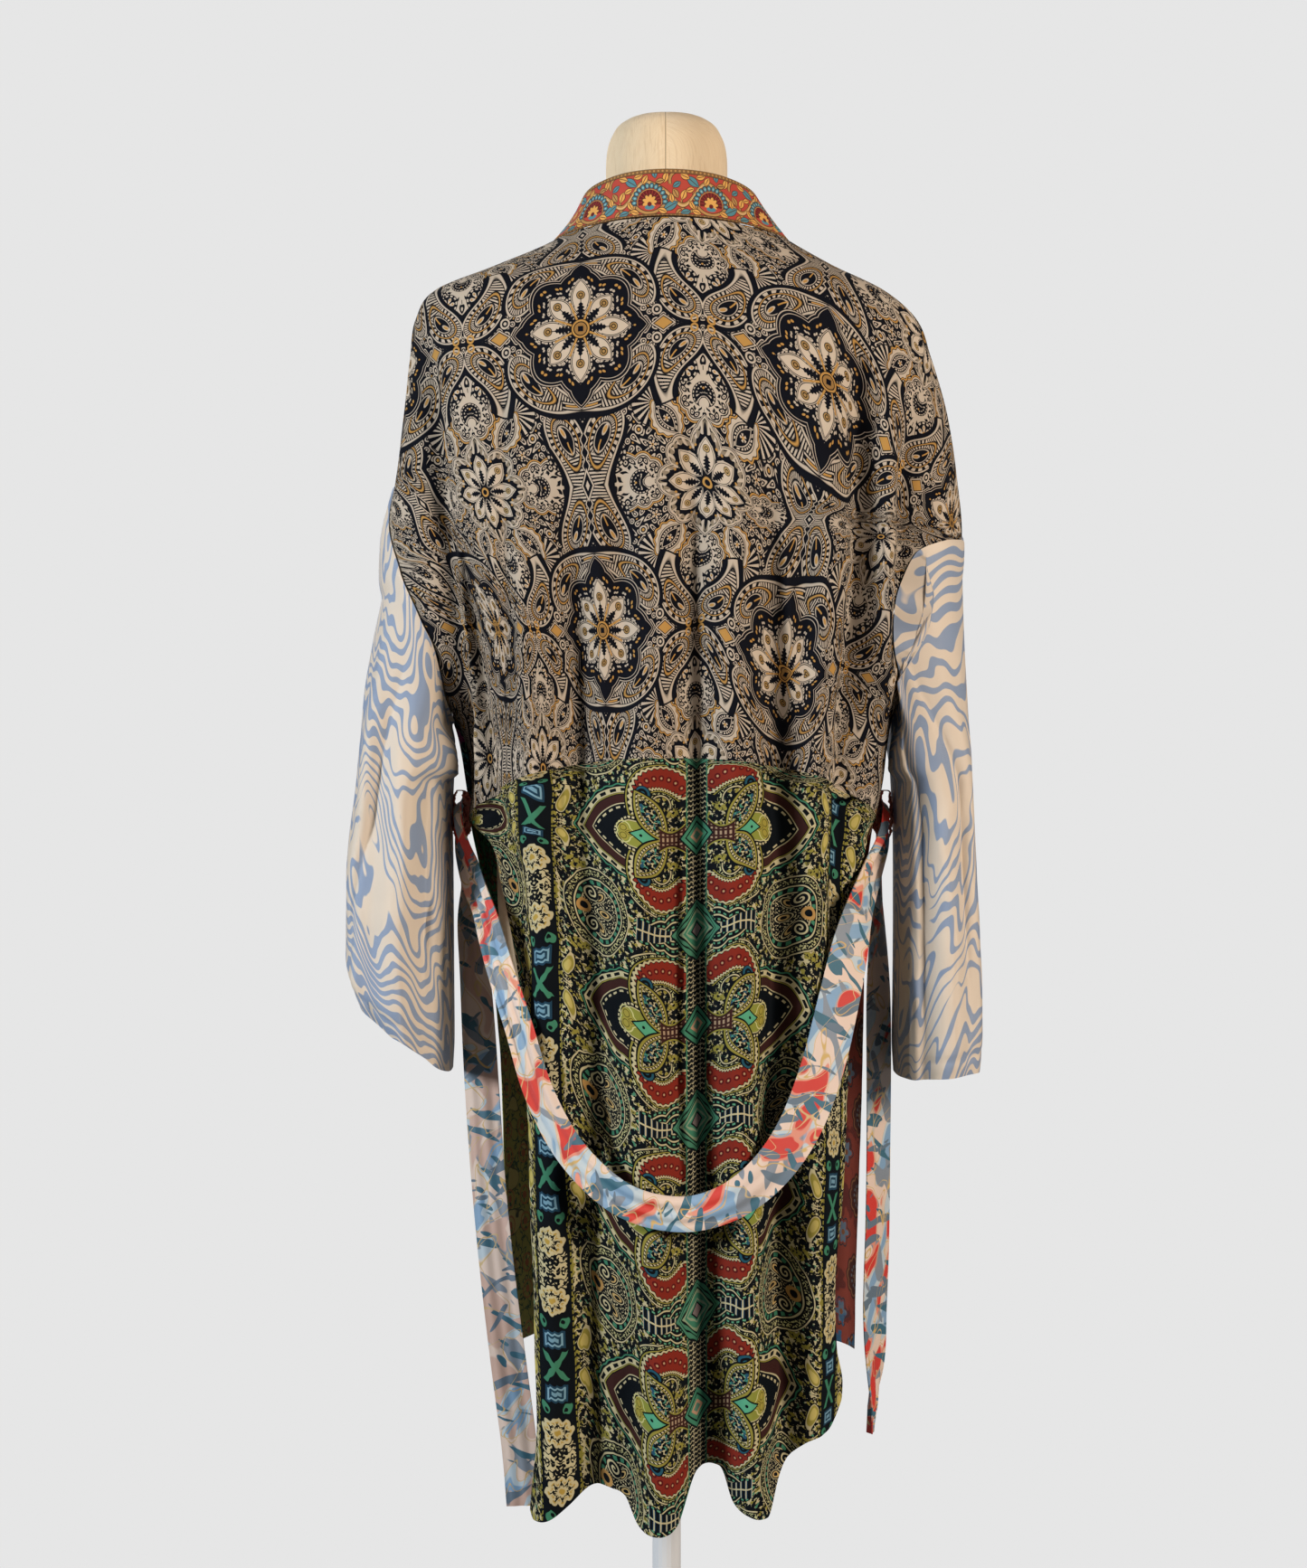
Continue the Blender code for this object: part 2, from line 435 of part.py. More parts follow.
def wall(name, grid, thick, colour, rough, closed=False, outward=None):
    """A cloth wall of even thickness on a grid of points."""
    rows, cols = grid.shape[:2]
    n = grid_normals(grid, closed)
    if outward is not None and float((n * outward(grid)).sum()) < 0:
        n = -n
    outer, inner = grid + n * thick / 2, grid - n * thick / 2
    points = np.concatenate([outer.reshape(-1, 3), inner.reshape(-1, 3)])
    shift = rows * cols
    faces = []
    last = cols if closed else cols - 1
    for r in range(rows - 1):
        for c in range(last):
            d = (c + 1) % cols
            a, b, e, f = r * cols + c, r * cols + d, (r + 1) * cols + d, (r + 1) * cols + c
            # both faces split along the same diagonal, so that the wall keeps its thickness where the cloth twists
            faces += [(a, b, e), (a, e, f), (shift + e, shift + b, shift + a), (shift + f, shift + e, shift + a)]
    for c in range(last):
        d = (c + 1) % cols
        for r, flip in ((0, False), (rows - 1, True)):
            a, b = r * cols + c, r * cols + d
            quad = (b, a, shift + a, shift + b)
            faces.append(quad[::-1] if flip else quad)
    if not closed:
        for r in range(rows - 1):
            for c, flip in ((0, False), (cols - 1, True)):
                a, b = r * cols + c, (r + 1) * cols + c
                quad = (a, b, shift + b, shift + a)
                faces.append(quad[::-1] if flip else quad)
    return finish(add_object(name, points, faces, colour, rough))


def finish(obj):
    """Turns every face of a closed mesh outwards."""
    import bmesh
    bm = bmesh.new()
    bm.from_mesh(obj.data)
    bmesh.ops.recalc_face_normals(bm, faces=bm.faces)
    if bm.calc_volume(signed=True) < 0:
        bmesh.ops.reverse_faces(bm, faces=bm.faces)
    bm.to_mesh(obj.data)
    bm.free()
    return obj


def sweep(name, stations, colour, rough):
    """A strip through stations: (centre, across, face normal, width, thickness)."""
    points, faces = [], []
    for centre, across, normal, width, thick in stations:
        for i, j in ((-1, -1), (1, -1), (1, 1), (-1, 1)):
            points.append(centre + across * width / 2 * i + normal * thick / 2 * j)
    n = len(stations)
    for k in range(n - 1):
        for i in range(4):
            j = (i + 1) % 4
            faces.append((4 * k + i, 4 * k + j, 4 * k + 4 + j, 4 * k + 4 + i))
    faces += [(3, 2, 1, 0), tuple(4 * (n - 1) + i for i in range(4))]
    return finish(add_object(name, points, faces, colour, rough))


def from_axis(grid):
    """Which way is outwards for the body's panels: away from the upright axis."""
    out = grid.copy()
    out[..., 2] = 0
    return out


# ------------------------------------------------------------------ neck band
def band_edge():
    """Seam line of the neck band, from the left front hem up, round the neck and down to the right front hem,
    each point with the direction in which the band leaves its seam."""
    seam = []

    def front(side):
        run = []
        upper, lower = front_upper_grid(side), front_lower_grid(side)
        for p in list(upper[:, -1]) + list(lower[1:, -1]):
            z = p[2]
            flat = np.array([-side * 1.0, -0.10, 0.0])
            standing = np.array([-side * 0.72, -0.05, 0.62])
            k = min(1.0, max(0.0, (z - 1.25) / 0.16))
            k = k * k * (3 - 2 * k)
            run.append((p, flat * (1 - k) + standing * k))
        return run

    seam += front(1)[::-1]
    top = yoke_grid()[0]
    for p in top[1:-1]:
        round_neck = np.array([-p[0], -p[1] * 0.9, 0.0])
        round_neck /= max(np.linalg.norm(round_neck), 1e-9)
        k = min(1.0, abs(p[0]) / 0.10) ** 2
        seam.append((p, round_neck * (0.16 + 0.50 * k) + np.array([0, 0, 1.0 - 0.32 * k])))
    seam += front(-1)
    return seam


def band_grid(across=2):
    """The band's points, from its seam to its free fold."""
    seam = band_edge()
    along = np.array([p for p, _ in seam])
    lean = np.array([d / np.linalg.norm(d) for _, d in seam])
    for _ in range(3):  # the band turns evenly along its length
        lean[1:-1] = (lean[:-2] + 2 * lean[1:-1] + lean[2:]) / 4
    tangent = np.gradient(along, axis=0)
    tangent /= np.linalg.norm(tangent, axis=1, keepdims=True)
    lean -= tangent * (lean * tangent).sum(1, keepdims=True)
    lean /= np.linalg.norm(lean, axis=1, keepdims=True)
    rows = []
    for k in np.linspace(0, 1, across + 1):
        rows.append(along + lean * (0.0016 + k * (BAND_WIDTH - 0.0016)))
    return np.array(rows)


# ------------------------------------------------------------------ belt
def surface_y(x, z):
    """Depth of the back's outer face at x and height z."""
    half = float(A_LEFT(z)) if x >= 0 else float(A_RIGHT(z))
    x = max(-half, min(half, x))
    p = ring_point(angle_of_x(x, z), z)
    return float(p[1])


def belt_rows():
    """The belt's route with its depths filled in: on the back it lies clear of the folds and bridges their hollows."""
    rows = [list(r) for r in BELT]
    for r in rows:
        if r[1] is None:
            near = [(dx, dz) for dx in (-0.016, -0.008, 0, 0.008, 0.016) for dz in (-0.018, 0, 0.018)]
            r[1] = max(surface_y(r[0] + dx, r[2] + dz) for dx, dz in near) + 0.0060
            r.append(True)
    laid = [i for i, r in enumerate(rows) if len(r) > 5]
    for _ in range(2):
        ys = [r[1] for r in rows]
        for i in laid:
            rows[i][1] = max(ys[i], (ys[i - 1] + ys[i + 1]) / 2)
    return [r[:5] for r in rows]


def belt_stations(length=0.032, turn=18.0):
    """Centre, direction across, face, width and thickness at stations that come closer together where the belt turns."""
    p = np.array(belt_rows(), float)
    ends = np.vstack([2 * p[0] - p[1], p, 2 * p[-1] - p[-2]])
    fine = []
    for i in range(1, len(ends) - 2):
        a, b, c, d = ends[i - 1:i + 3]
        for t in np.linspace(0, 1, 12, endpoint=False):
            fine.append(0.5 * (2 * b + (c - a) * t + (2 * a - 5 * b + 4 * c - d) * t ** 2 + (3 * b - a - 3 * c + d) * t ** 3))
    fine = np.array(fine + [ends[-2]])
    step = np.diff(fine[:, :3], axis=0)
    size = np.linalg.norm(step, axis=1)
    heading = step / size[:, None]
    bend = np.degrees(np.arccos(np.clip((heading[1:] * heading[:-1]).sum(1), -1, 1)))
    cost = size / length + np.concatenate([[0], bend]) / turn + abs(np.diff(fine[:, 4])) / (2 * turn)
    at = np.concatenate([[0], np.cumsum(cost)])
    marks = np.linspace(0, at[-1], int(math.ceil(at[-1])) + 1)
    line = np.stack([np.interp(marks, at, fine[:, k]) for k in range(5)], axis=1)
    along = np.stack([np.interp(marks, at, np.gradient(fine[:, k])) for k in range(3)], axis=1)
    along /= np.linalg.norm(along, axis=1, keepdims=True)
    made = []
    for (x, y, z, share, lean), t in zip(line, along):
        face = np.array([math.sin(math.radians(lean)), math.cos(math.radians(lean)), 0.0])
        face -= t * float(face @ t)
        face /= np.linalg.norm(face)
        made.append((np.array([x, y, z]), np.cross(t, face), face, BELT_WIDTH * share, BELT_THICK * (1 + (1 - share) * 3)))
    return made


def clear_scene():
    for obj in list(bpy.data.objects):
        bpy.data.objects.remove(obj)


# ------------------------------------------------------------------ the object
def form_ring(z_row, count):
    z, half, front, back = z_row
    ring = []
    for k in range(count):
        a = 2 * math.pi * k / count
        s, c = math.sin(a), math.cos(a)
        ring.append((half * math.copysign(abs(s) ** 0.92, s), (back if c >= 0 else front) * math.copysign(abs(c) ** 0.92, c), z))
    return ring


def make_form(count=28):
    rows = FORM
    points, faces = [], []
    for r in rows:
        points += form_ring(r, count)
    for k in range(len(rows) - 1):
        for i in range(count):
            j = (i + 1) % count
            faces.append((k * count + i, k * count + j, (k + 1) * count + j, (k + 1) * count + i))
    faces.append(tuple(range(count)))
    faces.append(tuple((len(rows) - 1) * count + i for i in range(count)))
    finish(add_object("form_torso", points, faces, (0.86, 0.76, 0.60), 0.85))


def make_turned(name, profile, count, colour, rough, metal):
    """A turned piece from (radius, height) pairs, closed flat at both ends."""
    points, faces = [], []
    for r, z in profile:
        points += [(r * math.cos(2 * math.pi * i / count), r * math.sin(2 * math.pi * i / count), z) for i in range(count)]
    for k in range(len(profile) - 1):
        for i in range(count):
            j = (i + 1) % count
            faces.append((k * count + i, k * count + j, (k + 1) * count + j, (k + 1) * count + i))
    faces += [tuple(range(count)), tuple((len(profile) - 1) * count + i for i in range(count))]
    finish(add_object(name, points, faces, colour, rough, metal))


def make_loop(name, side, x_body):
    """A belt loop: a narrow strip that stands off the side seam and is sewn to it above and below the belt."""
    low, high, wide, thick, deep = 0.8965, 0.9400, 0.0108, 0.0014, 0.009
    centre, stations = x_body + wide / 2, []
    count = 20
    for k in range(count + 1):
        a = 2 * math.pi * k / count + math.pi
        c, s = math.cos(a), math.sin(a)
        x = centre + (wide - thick) / 2 * math.copysign(abs(c) ** 0.45, c)
        z = (low + high) / 2 + (high - low - thick) / 2 * math.copysign(abs(s) ** 0.45, s)
        stations.append(np.array([side * x, 0.0, z]))
    ring = np.array(stations[:-1])
    inner, outer = [], []
    middle = np.array([side * centre, 0.0, (low + high) / 2])
    for p in ring:
        d = (p - middle) / np.array([wide, 1, high - low])
        d[1] = 0
        d /= np.linalg.norm(d)
        inner.append(p - d * thick / 2)
        outer.append(p + d * thick / 2)
    points, faces, n = [], [], len(ring)
    for block in (inner, outer):
        for y in (-deep / 2, deep / 2):
            points += [p + np.array([0, y, 0]) for p in block]
    for i in range(n):
        j = (i + 1) % n
        faces += [(i, j, n + j, n + i), (2 * n + i, 3 * n + i, 3 * n + j, 2 * n + j),
                  (i, 2 * n + i, 2 * n + j, j), (n + i, n + j, 3 * n + j, 3 * n + i)]
    finish(add_object(name, points, faces, (0.45, 0.13, 0.09), 0.7))


def main():
    clear_scene()
    paisley, green, grain = (0.32, 0.26, 0.19), (0.09, 0.15, 0.11), (0.62, 0.57, 0.52)
    wall("back_yoke", inset(yoke_grid(), 0.0016, SEAM_GAP / 2, 0.0006, 0.0006), CLOTH, paisley, 0.6, outward=from_axis)
    wall("back_skirt", inset(skirt_grid(), SEAM_GAP / 2, 0.0), CLOTH, green, 0.6, outward=from_axis)
    for side, tag, upper, lower in ((1, "left", (0.05, 0.09, 0.10), (0.12, 0.20, 0.10)),
                                    (-1, "right", (0.06, 0.05, 0.08), (0.33, 0.12, 0.08))):
        wall("front_upper_" + tag, inset(front_upper_grid(side), 0.0, SEAM_GAP / 2, 0.0006, 0.0), CLOTH, upper, 0.6, outward=from_axis)
        wall("front_lower_" + tag, inset(front_lower_grid(side), SEAM_GAP / 2, 0.0), CLOTH, lower, 0.6, outward=from_axis)
        middle = np.array([side * 0.228, 0, 0])
        wall("sleeve_" + tag, inset(sleeve_grid(side), 0.0016, 0.0), CLOTH, grain, 0.5, closed=True,
             outward=lambda g, m=middle: (g - m) * np.array([1, 1, 0]))
    wall("neck_band", band_grid(), BAND_CLOTH, (0.52, 0.10, 0.06), 0.6)
    make_loop("belt_loop_left", 1, 0.1776)
    make_loop("belt_loop_right", -1, 0.1876)
    sweep("belt", belt_stations(), (0.42, 0.50, 0.56), 0.45)
    make_form()
    make_turned("stand_pole", [(POLE_R, BASE_H + 0.0003), (POLE_R, TORSO_BOTTOM - 0.0003)], 20, (0.55, 0.56, 0.57), 0.3, 1.0)
    make_turned("stand_base", [(BASE_R - 0.004, 0.0), (BASE_R, 0.004), (BASE_R, BASE_H - 0.012), (BASE_R - 0.006, BASE_H - 0.004),
                               (BASE_R - 0.020, BASE_H)], 40, (0.10, 0.10, 0.11), 0.45, 0.0)


main()
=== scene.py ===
import math

import bpy
import numpy as np
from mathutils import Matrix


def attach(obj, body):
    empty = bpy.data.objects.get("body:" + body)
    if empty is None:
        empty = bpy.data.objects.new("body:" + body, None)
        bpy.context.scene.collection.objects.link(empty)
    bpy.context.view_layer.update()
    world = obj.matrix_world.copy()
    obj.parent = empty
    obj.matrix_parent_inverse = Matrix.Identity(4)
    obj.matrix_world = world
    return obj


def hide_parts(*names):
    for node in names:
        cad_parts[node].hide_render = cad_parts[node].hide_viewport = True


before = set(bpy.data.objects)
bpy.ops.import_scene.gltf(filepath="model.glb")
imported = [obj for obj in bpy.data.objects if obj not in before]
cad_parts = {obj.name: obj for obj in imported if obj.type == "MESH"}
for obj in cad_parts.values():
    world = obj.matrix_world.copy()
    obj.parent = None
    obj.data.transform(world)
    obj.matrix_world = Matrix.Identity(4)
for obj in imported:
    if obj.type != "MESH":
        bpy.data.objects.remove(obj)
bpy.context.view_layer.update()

# The robe's looks. Metres, +Z up, the same frame as the part: the open front faces -Y, the back +Y, the wearer's left is +X.
# Each cloth panel is a thin shell on its solid's own form, with finer folds and creases laid over it.
# Prints are worked out as sums in the materials, in millimetres of each panel's cloth.
# ------------------------------------------------------------------ sizes and tables of the part
BAND_WIDTH, BELT_WIDTH = 0.044, 0.037
TORSO_BOTTOM, WAIST_SIDE, UNDERARM = 0.765, 0.9106, 1.000
RIDGE_END = {1: 1.210, -1: 1.166}
FRONT_HEM = 0.440
CLOTH = 0.0007

# body ring: height, half width left (+X), half width right (-X), depth back, depth front, squareness
BODY = [
    (1.432, 0.086, 0.094, 0.0640, 0.060, 2.0), (1.421, 0.104, 0.112, 0.0665, 0.062, 2.0), (1.399, 0.156, 0.151, 0.0730, 0.068, 2.1),
    (1.379, 0.205, 0.192, 0.0800, 0.074, 2.2), (1.355, 0.221, 0.2195, 0.0880, 0.084, 2.3), (1.320, 0.227, 0.233, 0.0990, 0.100, 2.3),
    (1.270, 0.232, 0.247, 0.1090, 0.118, 2.3), (1.210, 0.239, 0.256, 0.1150, 0.131, 2.3), (1.166, 0.248, 0.260, 0.1180, 0.133, 2.3),
    (1.127, 0.250, 0.257, 0.1190, 0.131, 2.3), (1.090, 0.240, 0.245, 0.1200, 0.129, 2.3), (1.060, 0.224, 0.230, 0.1200, 0.127, 2.3),
    (1.030, 0.205, 0.212, 0.1200, 0.126, 2.3), (1.000, 0.189, 0.197, 0.1200, 0.125, 2.3), (0.940, 0.177, 0.188, 0.1200, 0.123, 2.3),
    (0.900, 0.172, 0.181, 0.1200, 0.122, 2.3), (0.840, 0.163, 0.176, 0.1190, 0.121, 2.3), (0.760, 0.157, 0.177, 0.1170, 0.119, 2.3),
    (0.680, 0.153, 0.176, 0.1140, 0.117, 2.3), (0.500, 0.149, 0.171, 0.1080, 0.113, 2.3), (0.280, 0.146, 0.168, 0.1040, 0.110, 2.3),
]
# how far the middle of a woven line lies above its side ends: side height, rise
RISE = [(1.421, 0.011), (1.400, 0.006), (1.379, 0.004), (1.330, 0.008), (1.210, 0.020),
        (1.000, 0.044), (0.9106, 0.056), (0.800, 0.048), (0.600, 0.020), (0.300, 0.0)]
SEAM_ANGLE = [(1.432, 98.0), (1.330, 98.0), (1.270, 94.0), (1.210, 90.0), (0.300, 90.0)]
# ring angle of the armhole's back edge: height, angle left, angle right
ARMHOLE = [(1.210, 90, 90), (1.188, 82, 90), (1.166, 76, 90), (1.145, 70, 64), (1.127, 66, 53),
           (1.090, 61, 51), (1.060, 60, 54), (1.030, 66, 62), (1.010, 79, 78), (1.000, 90, 90)]
# half opening of the fronts: height, x
OPENING = [(1.421, 0.1095), (1.400, 0.1085), (1.380, 0.106), (1.330, 0.100), (1.250, 0.094),
           (1.150, 0.090), (0.900, 0.086), (0.440, 0.082), (0.400, 0.082)]
# slit edges of the back skirt: height, x left, x right
BACK_EDGE = [(0.912, 0.170, -0.179), (0.896, 0.154, -0.174), (0.860, 0.143, -0.168), (0.820, 0.134, -0.162),
             (0.759, 0.123, -0.158), (0.655, 0.115, -0.153), (0.590, 0.1135, -0.149), (0.517, 0.109, -0.140),
             (0.462, 0.108, -0.143), (0.430, 0.106, -0.150), (0.400, 0.105, -0.145), (0.374, 0.107, -0.130),
             (0.336, 0.111, -0.120), (0.300, 0.112, -0.118)]
# slit edges of the lower fronts as ring angles: height, angle left, angle right
FRONT_EDGE = [(0.912, 90, 90), (0.860, 96, 93), (0.760, 104, 97), (0.600, 106, 99), (0.400, 108, 100)]
# back hem: place across (1 left edge, -1 right edge), height
BACK_HEM = [(-1.00, 0.415), (-0.93, 0.398), (-0.84, 0.394), (-0.74, 0.390), (-0.68, 0.362), (-0.60, 0.333), (-0.48, 0.335),
            (-0.37, 0.343), (-0.26, 0.370), (-0.14, 0.366), (-0.04, 0.327), (0.05, 0.321), (0.16, 0.326), (0.25, 0.346),
            (0.39, 0.351), (0.53, 0.348), (0.665, 0.336), (0.80, 0.326), (0.94, 0.324), (1.00, 0.330)]
# Fold ridges of the back: ridge, height, x, swell outwards, half width
BACK_FOLDS = [
    ("far_left", 1.300, 0.200, 0.000, 0.012), ("far_left", 1.180, 0.190, 0.006, 0.012),
    ("far_left", 1.040, 0.176, 0.009, 0.012), ("far_left", 0.950, 0.166, 0.010, 0.012), ("far_left", 0.880, 0.160, 0.0, 0.010),
    ("left", 1.310, 0.142, 0.000, 0.022), ("left", 1.200, 0.136, 0.007, 0.022), ("left", 1.080, 0.127, 0.012, 0.021),
    ("left", 0.975, 0.119, 0.018, 0.021), ("left", 0.820, 0.103, 0.024, 0.020), ("left", 0.690, 0.098, 0.027, 0.020),
    ("left", 0.460, 0.095, 0.030, 0.020), ("left", 0.300, 0.100, 0.032, 0.020),
    ("mid_left", 1.260, 0.020, 0.000, 0.030), ("mid_left", 1.100, 0.014, 0.006, 0.026), ("mid_left", 0.950, 0.024, 0.014, 0.026),
    ("mid_left", 0.800, 0.026, 0.022, 0.026), ("mid_left", 0.600, 0.018, 0.029, 0.025),
    ("mid_left", 0.450, 0.010, 0.034, 0.024), ("mid_left", 0.300, 0.006, 0.039, 0.023),
    ("mid_right", 1.260, -0.058, 0.000, 0.024), ("mid_right", 1.120, -0.052, 0.008, 0.024), ("mid_right", 0.970, -0.055, 0.015, 0.023),
    ("mid_right", 0.760, -0.057, 0.023, 0.022), ("mid_right", 0.510, -0.063, 0.031, 0.021), ("mid_right", 0.300, -0.073, 0.038, 0.020),
    ("right", 1.310, -0.136, 0.000, 0.022), ("right", 1.200, -0.133, 0.006, 0.022), ("right", 1.080, -0.129, 0.011, 0.020),
    ("right", 0.920, -0.121, 0.018, 0.020), ("right", 0.800, -0.118, 0.022, 0.020), ("right", 0.610, -0.123, 0.026, 0.020),
    ("right", 0.470, -0.121, 0.030, 0.020), ("right", 0.300, -0.112, 0.030, 0.020),
    ("far_right", 1.300, -0.190, 0.000, 0.013), ("far_right", 1.210, -0.188, 0.009, 0.013), ("far_right", 1.100, -0.186, 0.013, 0.012),
    ("far_right", 0.970, -0.182, 0.012, 0.011), ("far_right", 0.890, -0.172, 0.0, 0.010),
    ("arm_right", 1.330, -0.216, 0.000, 0.010), ("arm_right", 1.250, -0.232, 0.006, 0.010), ("arm_right", 1.190, -0.238, 0.007, 0.010),
    ("arm_right", 1.120, -0.238, 0.000, 0.010),
]
FRONT_FOLDS = [
    ("bust", 1.330, 0.140, 0.000, 0.020), ("bust", 1.180, 0.132, 0.006, 0.020), ("bust", 1.000, 0.122, 0.014, 0.020),
    ("bust", 0.780, 0.116, 0.022, 0.019), ("bust", 0.400, 0.112, 0.028, 0.018),
    ("side", 1.260, 0.186, 0.000, 0.013), ("side", 1.120, 0.182, 0.008, 0.013), ("side", 0.960, 0.164, 0.012, 0.012),
    ("side", 0.820, 0.150, 0.010, 0.011), ("side", 0.700, 0.146, 0.0, 0.010),
]
# Creases laid over those folds, finer and sharper: crease, height, x, depth (a trough where below zero), half width
BACK_CREASES = [
    # softer ones in the yoke
    ("y1", 1.250, 0.062, 0.0, 0.014), ("y1", 1.150, 0.064, -0.0022, 0.014), ("y1", 1.020, 0.070, -0.0040, 0.012), ("y1", 0.940, 0.072, -0.0050, 0.011),
    ("y2", 1.340, 0.106, 0.0, 0.016), ("y2", 1.250, 0.100, 0.0022, 0.015), ("y2", 1.100, 0.098, 0.0018, 0.014), ("y2", 0.980, 0.095, 0.0, 0.012),
    ("y3", 1.300, -0.088, 0.0, 0.014), ("y3", 1.200, -0.092, -0.0025, 0.012), ("y3", 1.080, -0.094, -0.0035, 0.012), ("y3", 0.960, -0.096, -0.0030, 0.010),
    ("y4", 1.400, 0.060, 0.0, 0.012), ("y4", 1.380, 0.052, -0.0012, 0.014), ("y4", 1.340, 0.040, -0.0016, 0.018), ("y4", 1.280, 0.030, 0.0, 0.020),
    ("y5", 1.395, -0.070, 0.0, 0.012), ("y5", 1.370, -0.064, -0.0012, 0.014), ("y5", 1.330, -0.052, -0.0016, 0.018), ("y5", 1.270, -0.040, 0.0, 0.020),
]
# Deep troughs of the back, where the cloth doubles over: trough, height, x, depth, half width towards +X, half width towards -X
BACK_TROUGHS = [
    ("slant", 1.350, 0.212, 0.0, 0.010, 0.007), ("slant", 1.253, 0.203, 0.016, 0.011, 0.009), ("slant", 1.098, 0.185, 0.019, 0.010, 0.009),
    ("slant", 0.962, 0.176, 0.014, 0.008, 0.007), ("slant", 0.915, 0.172, 0.0, 0.008, 0.006),
    ("under", 1.200, 0.190, 0.0, 0.008, 0.006), ("under", 1.130, 0.177, 0.012, 0.009, 0.008), ("under", 1.040, 0.165, 0.017, 0.010, 0.008),
    ("under", 0.935, 0.149, 0.015, 0.010, 0.007), ("under", 0.872, 0.127, 0.017, 0.011, 0.007), ("under", 0.799, 0.117, 0.012, 0.010, 0.007),
    ("under", 0.740, 0.112, 0.0, 0.010, 0.007),
    ("low_l", 1.230, 0.083, 0.0, 0.012, 0.012), ("low_l", 1.130, 0.080, 0.012, 0.012, 0.010), ("low_l", 1.000, 0.074, 0.017, 0.012, 0.010), ("low_l", 0.872, 0.067, 0.013, 0.013, 0.009),
    ("low_l", 0.754, 0.054, 0.015, 0.012, 0.008), ("low_l", 0.660, 0.056, 0.014, 0.012, 0.008), ("low_l", 0.542, 0.068, 0.016, 0.013, 0.010),
    ("low_l", 0.330, 0.062, 0.016, 0.014, 0.010),
    ("edge_l", 1.090, 0.087, 0.0, 0.008, 0.008), ("edge_l", 1.030, 0.086, 0.005, 0.008, 0.007), ("edge_l", 0.930, 0.090, 0.008, 0.010, 0.005),
    ("edge_l", 0.760, 0.090, 0.008, 0.010, 0.005), ("edge_l", 0.600, 0.088, 0.0, 0.010, 0.006),
    ("middle", 1.300, -0.018, 0.0, 0.010, 0.009), ("middle", 1.180, -0.019, 0.012, 0.008, 0.011), ("middle", 1.026, -0.020, 0.019, 0.007, 0.011),
    ("middle", 0.920, -0.0235, 0.015, 0.006, 0.010), ("middle", 0.769, -0.028, 0.019, 0.007, 0.010), ("middle", 0.663, -0.0295, 0.019, 0.007, 0.011),
    ("middle", 0.454, -0.0325, 0.018, 0.009, 0.012), ("middle", 0.330, -0.033, 0.016, 0.010, 0.013),
    ("lip", 0.960, -0.004, 0.0, 0.010, 0.004), ("lip", 0.900, -0.006, 0.007, 0.012, 0.004), ("lip", 0.700, -0.008, 0.009, 0.012, 0.004),
    ("lip", 0.560, -0.012, 0.006, 0.011, 0.005), ("lip", 0.420, -0.014, 0.0, 0.010, 0.005),
    ("low_r", 1.220, -0.084, 0.0, 0.008, 0.012), ("low_r", 1.120, -0.084, 0.012, 0.007, 0.012), ("low_r", 0.996, -0.085, 0.017, 0.006, 0.013), ("low_r", 0.852, -0.094, 0.019, 0.007, 0.015),
    ("low_r", 0.7265, -0.088, 0.020, 0.006, 0.015), ("low_r", 0.572, -0.092, 0.026, 0.009, 0.016), ("low_r", 0.436, -0.099, 0.022, 0.009, 0.013),
    ("low_r", 0.340, -0.099, 0.014, 0.009, 0.012),
    ("side_r", 1.335, -0.164, 0.0, 0.008, 0.008), ("side_r", 1.289, -0.164, 0.010, 0.009, 0.009), ("side_r", 1.162, -0.163, 0.016, 0.008, 0.010),
    ("side_r", 1.017, -0.1505, 0.017, 0.006, 0.010), ("side_r", 0.890, -0.146, 0.019, 0.006, 0.010), ("side_r", 0.807, -0.141, 0.010, 0.006, 0.010),
    ("side_r", 0.745, -0.140, 0.0, 0.006, 0.010),
    ("edge_r", 1.270, -0.212, 0.0, 0.006, 0.007), ("edge_r", 1.225, -0.205, 0.010, 0.006, 0.007), ("edge_r", 1.089, -0.200, 0.013, 0.006, 0.007),
    ("edge_r", 1.035, -0.195, 0.0, 0.006, 0.007),
    ("blade_r", 1.230, -0.106, 0.0, 0.009, 0.008), ("blade_r", 1.160, -0.112, 0.010, 0.010, 0.009), ("blade_r", 1.080, -0.116, 0.012, 0.010, 0.009),
    ("blade_r", 0.990, -0.112, 0.0, 0.008, 0.008),
    ("blade_l", 1.250, 0.036, 0.0, 0.011, 0.011), ("blade_l", 1.150, 0.037, 0.011, 0.011, 0.009), ("blade_l", 1.000, 0.038, 0.006, 0.009, 0.009),
    ("blade_l", 0.930, 0.040, 0.0, 0.009, 0.009),
    ("press", 1.340, 0.140, 0.0, 0.005, 0.004), ("press", 1.250, 0.138, 0.006, 0.006, 0.004), ("press", 1.120, 0.133, 0.009, 0.007, 0.005),
    ("press", 0.980, 0.126, 0.006, 0.006, 0.005), ("press", 0.930, 0.122, 0.0, 0.006, 0.005),
    ("tail_l", 0.600, 0.022, 0.0, 0.010, 0.010), ("tail_l", 0.500, 0.026, 0.006, 0.010, 0.010), ("tail_l", 0.330, 0.030, 0.010, 0.011, 0.011),
]
# how deep a trough may go before it meets the form: height, depth
ROOM = [(1.370, 0.0), (1.300, 0.011), (1.200, 0.017), (1.100, 0.024), (1.000, 0.026), (0.900, 0.0135), (0.830, 0.0135), (0.765, 0.020), (0.720, 0.034), (0.300, 0.034)]
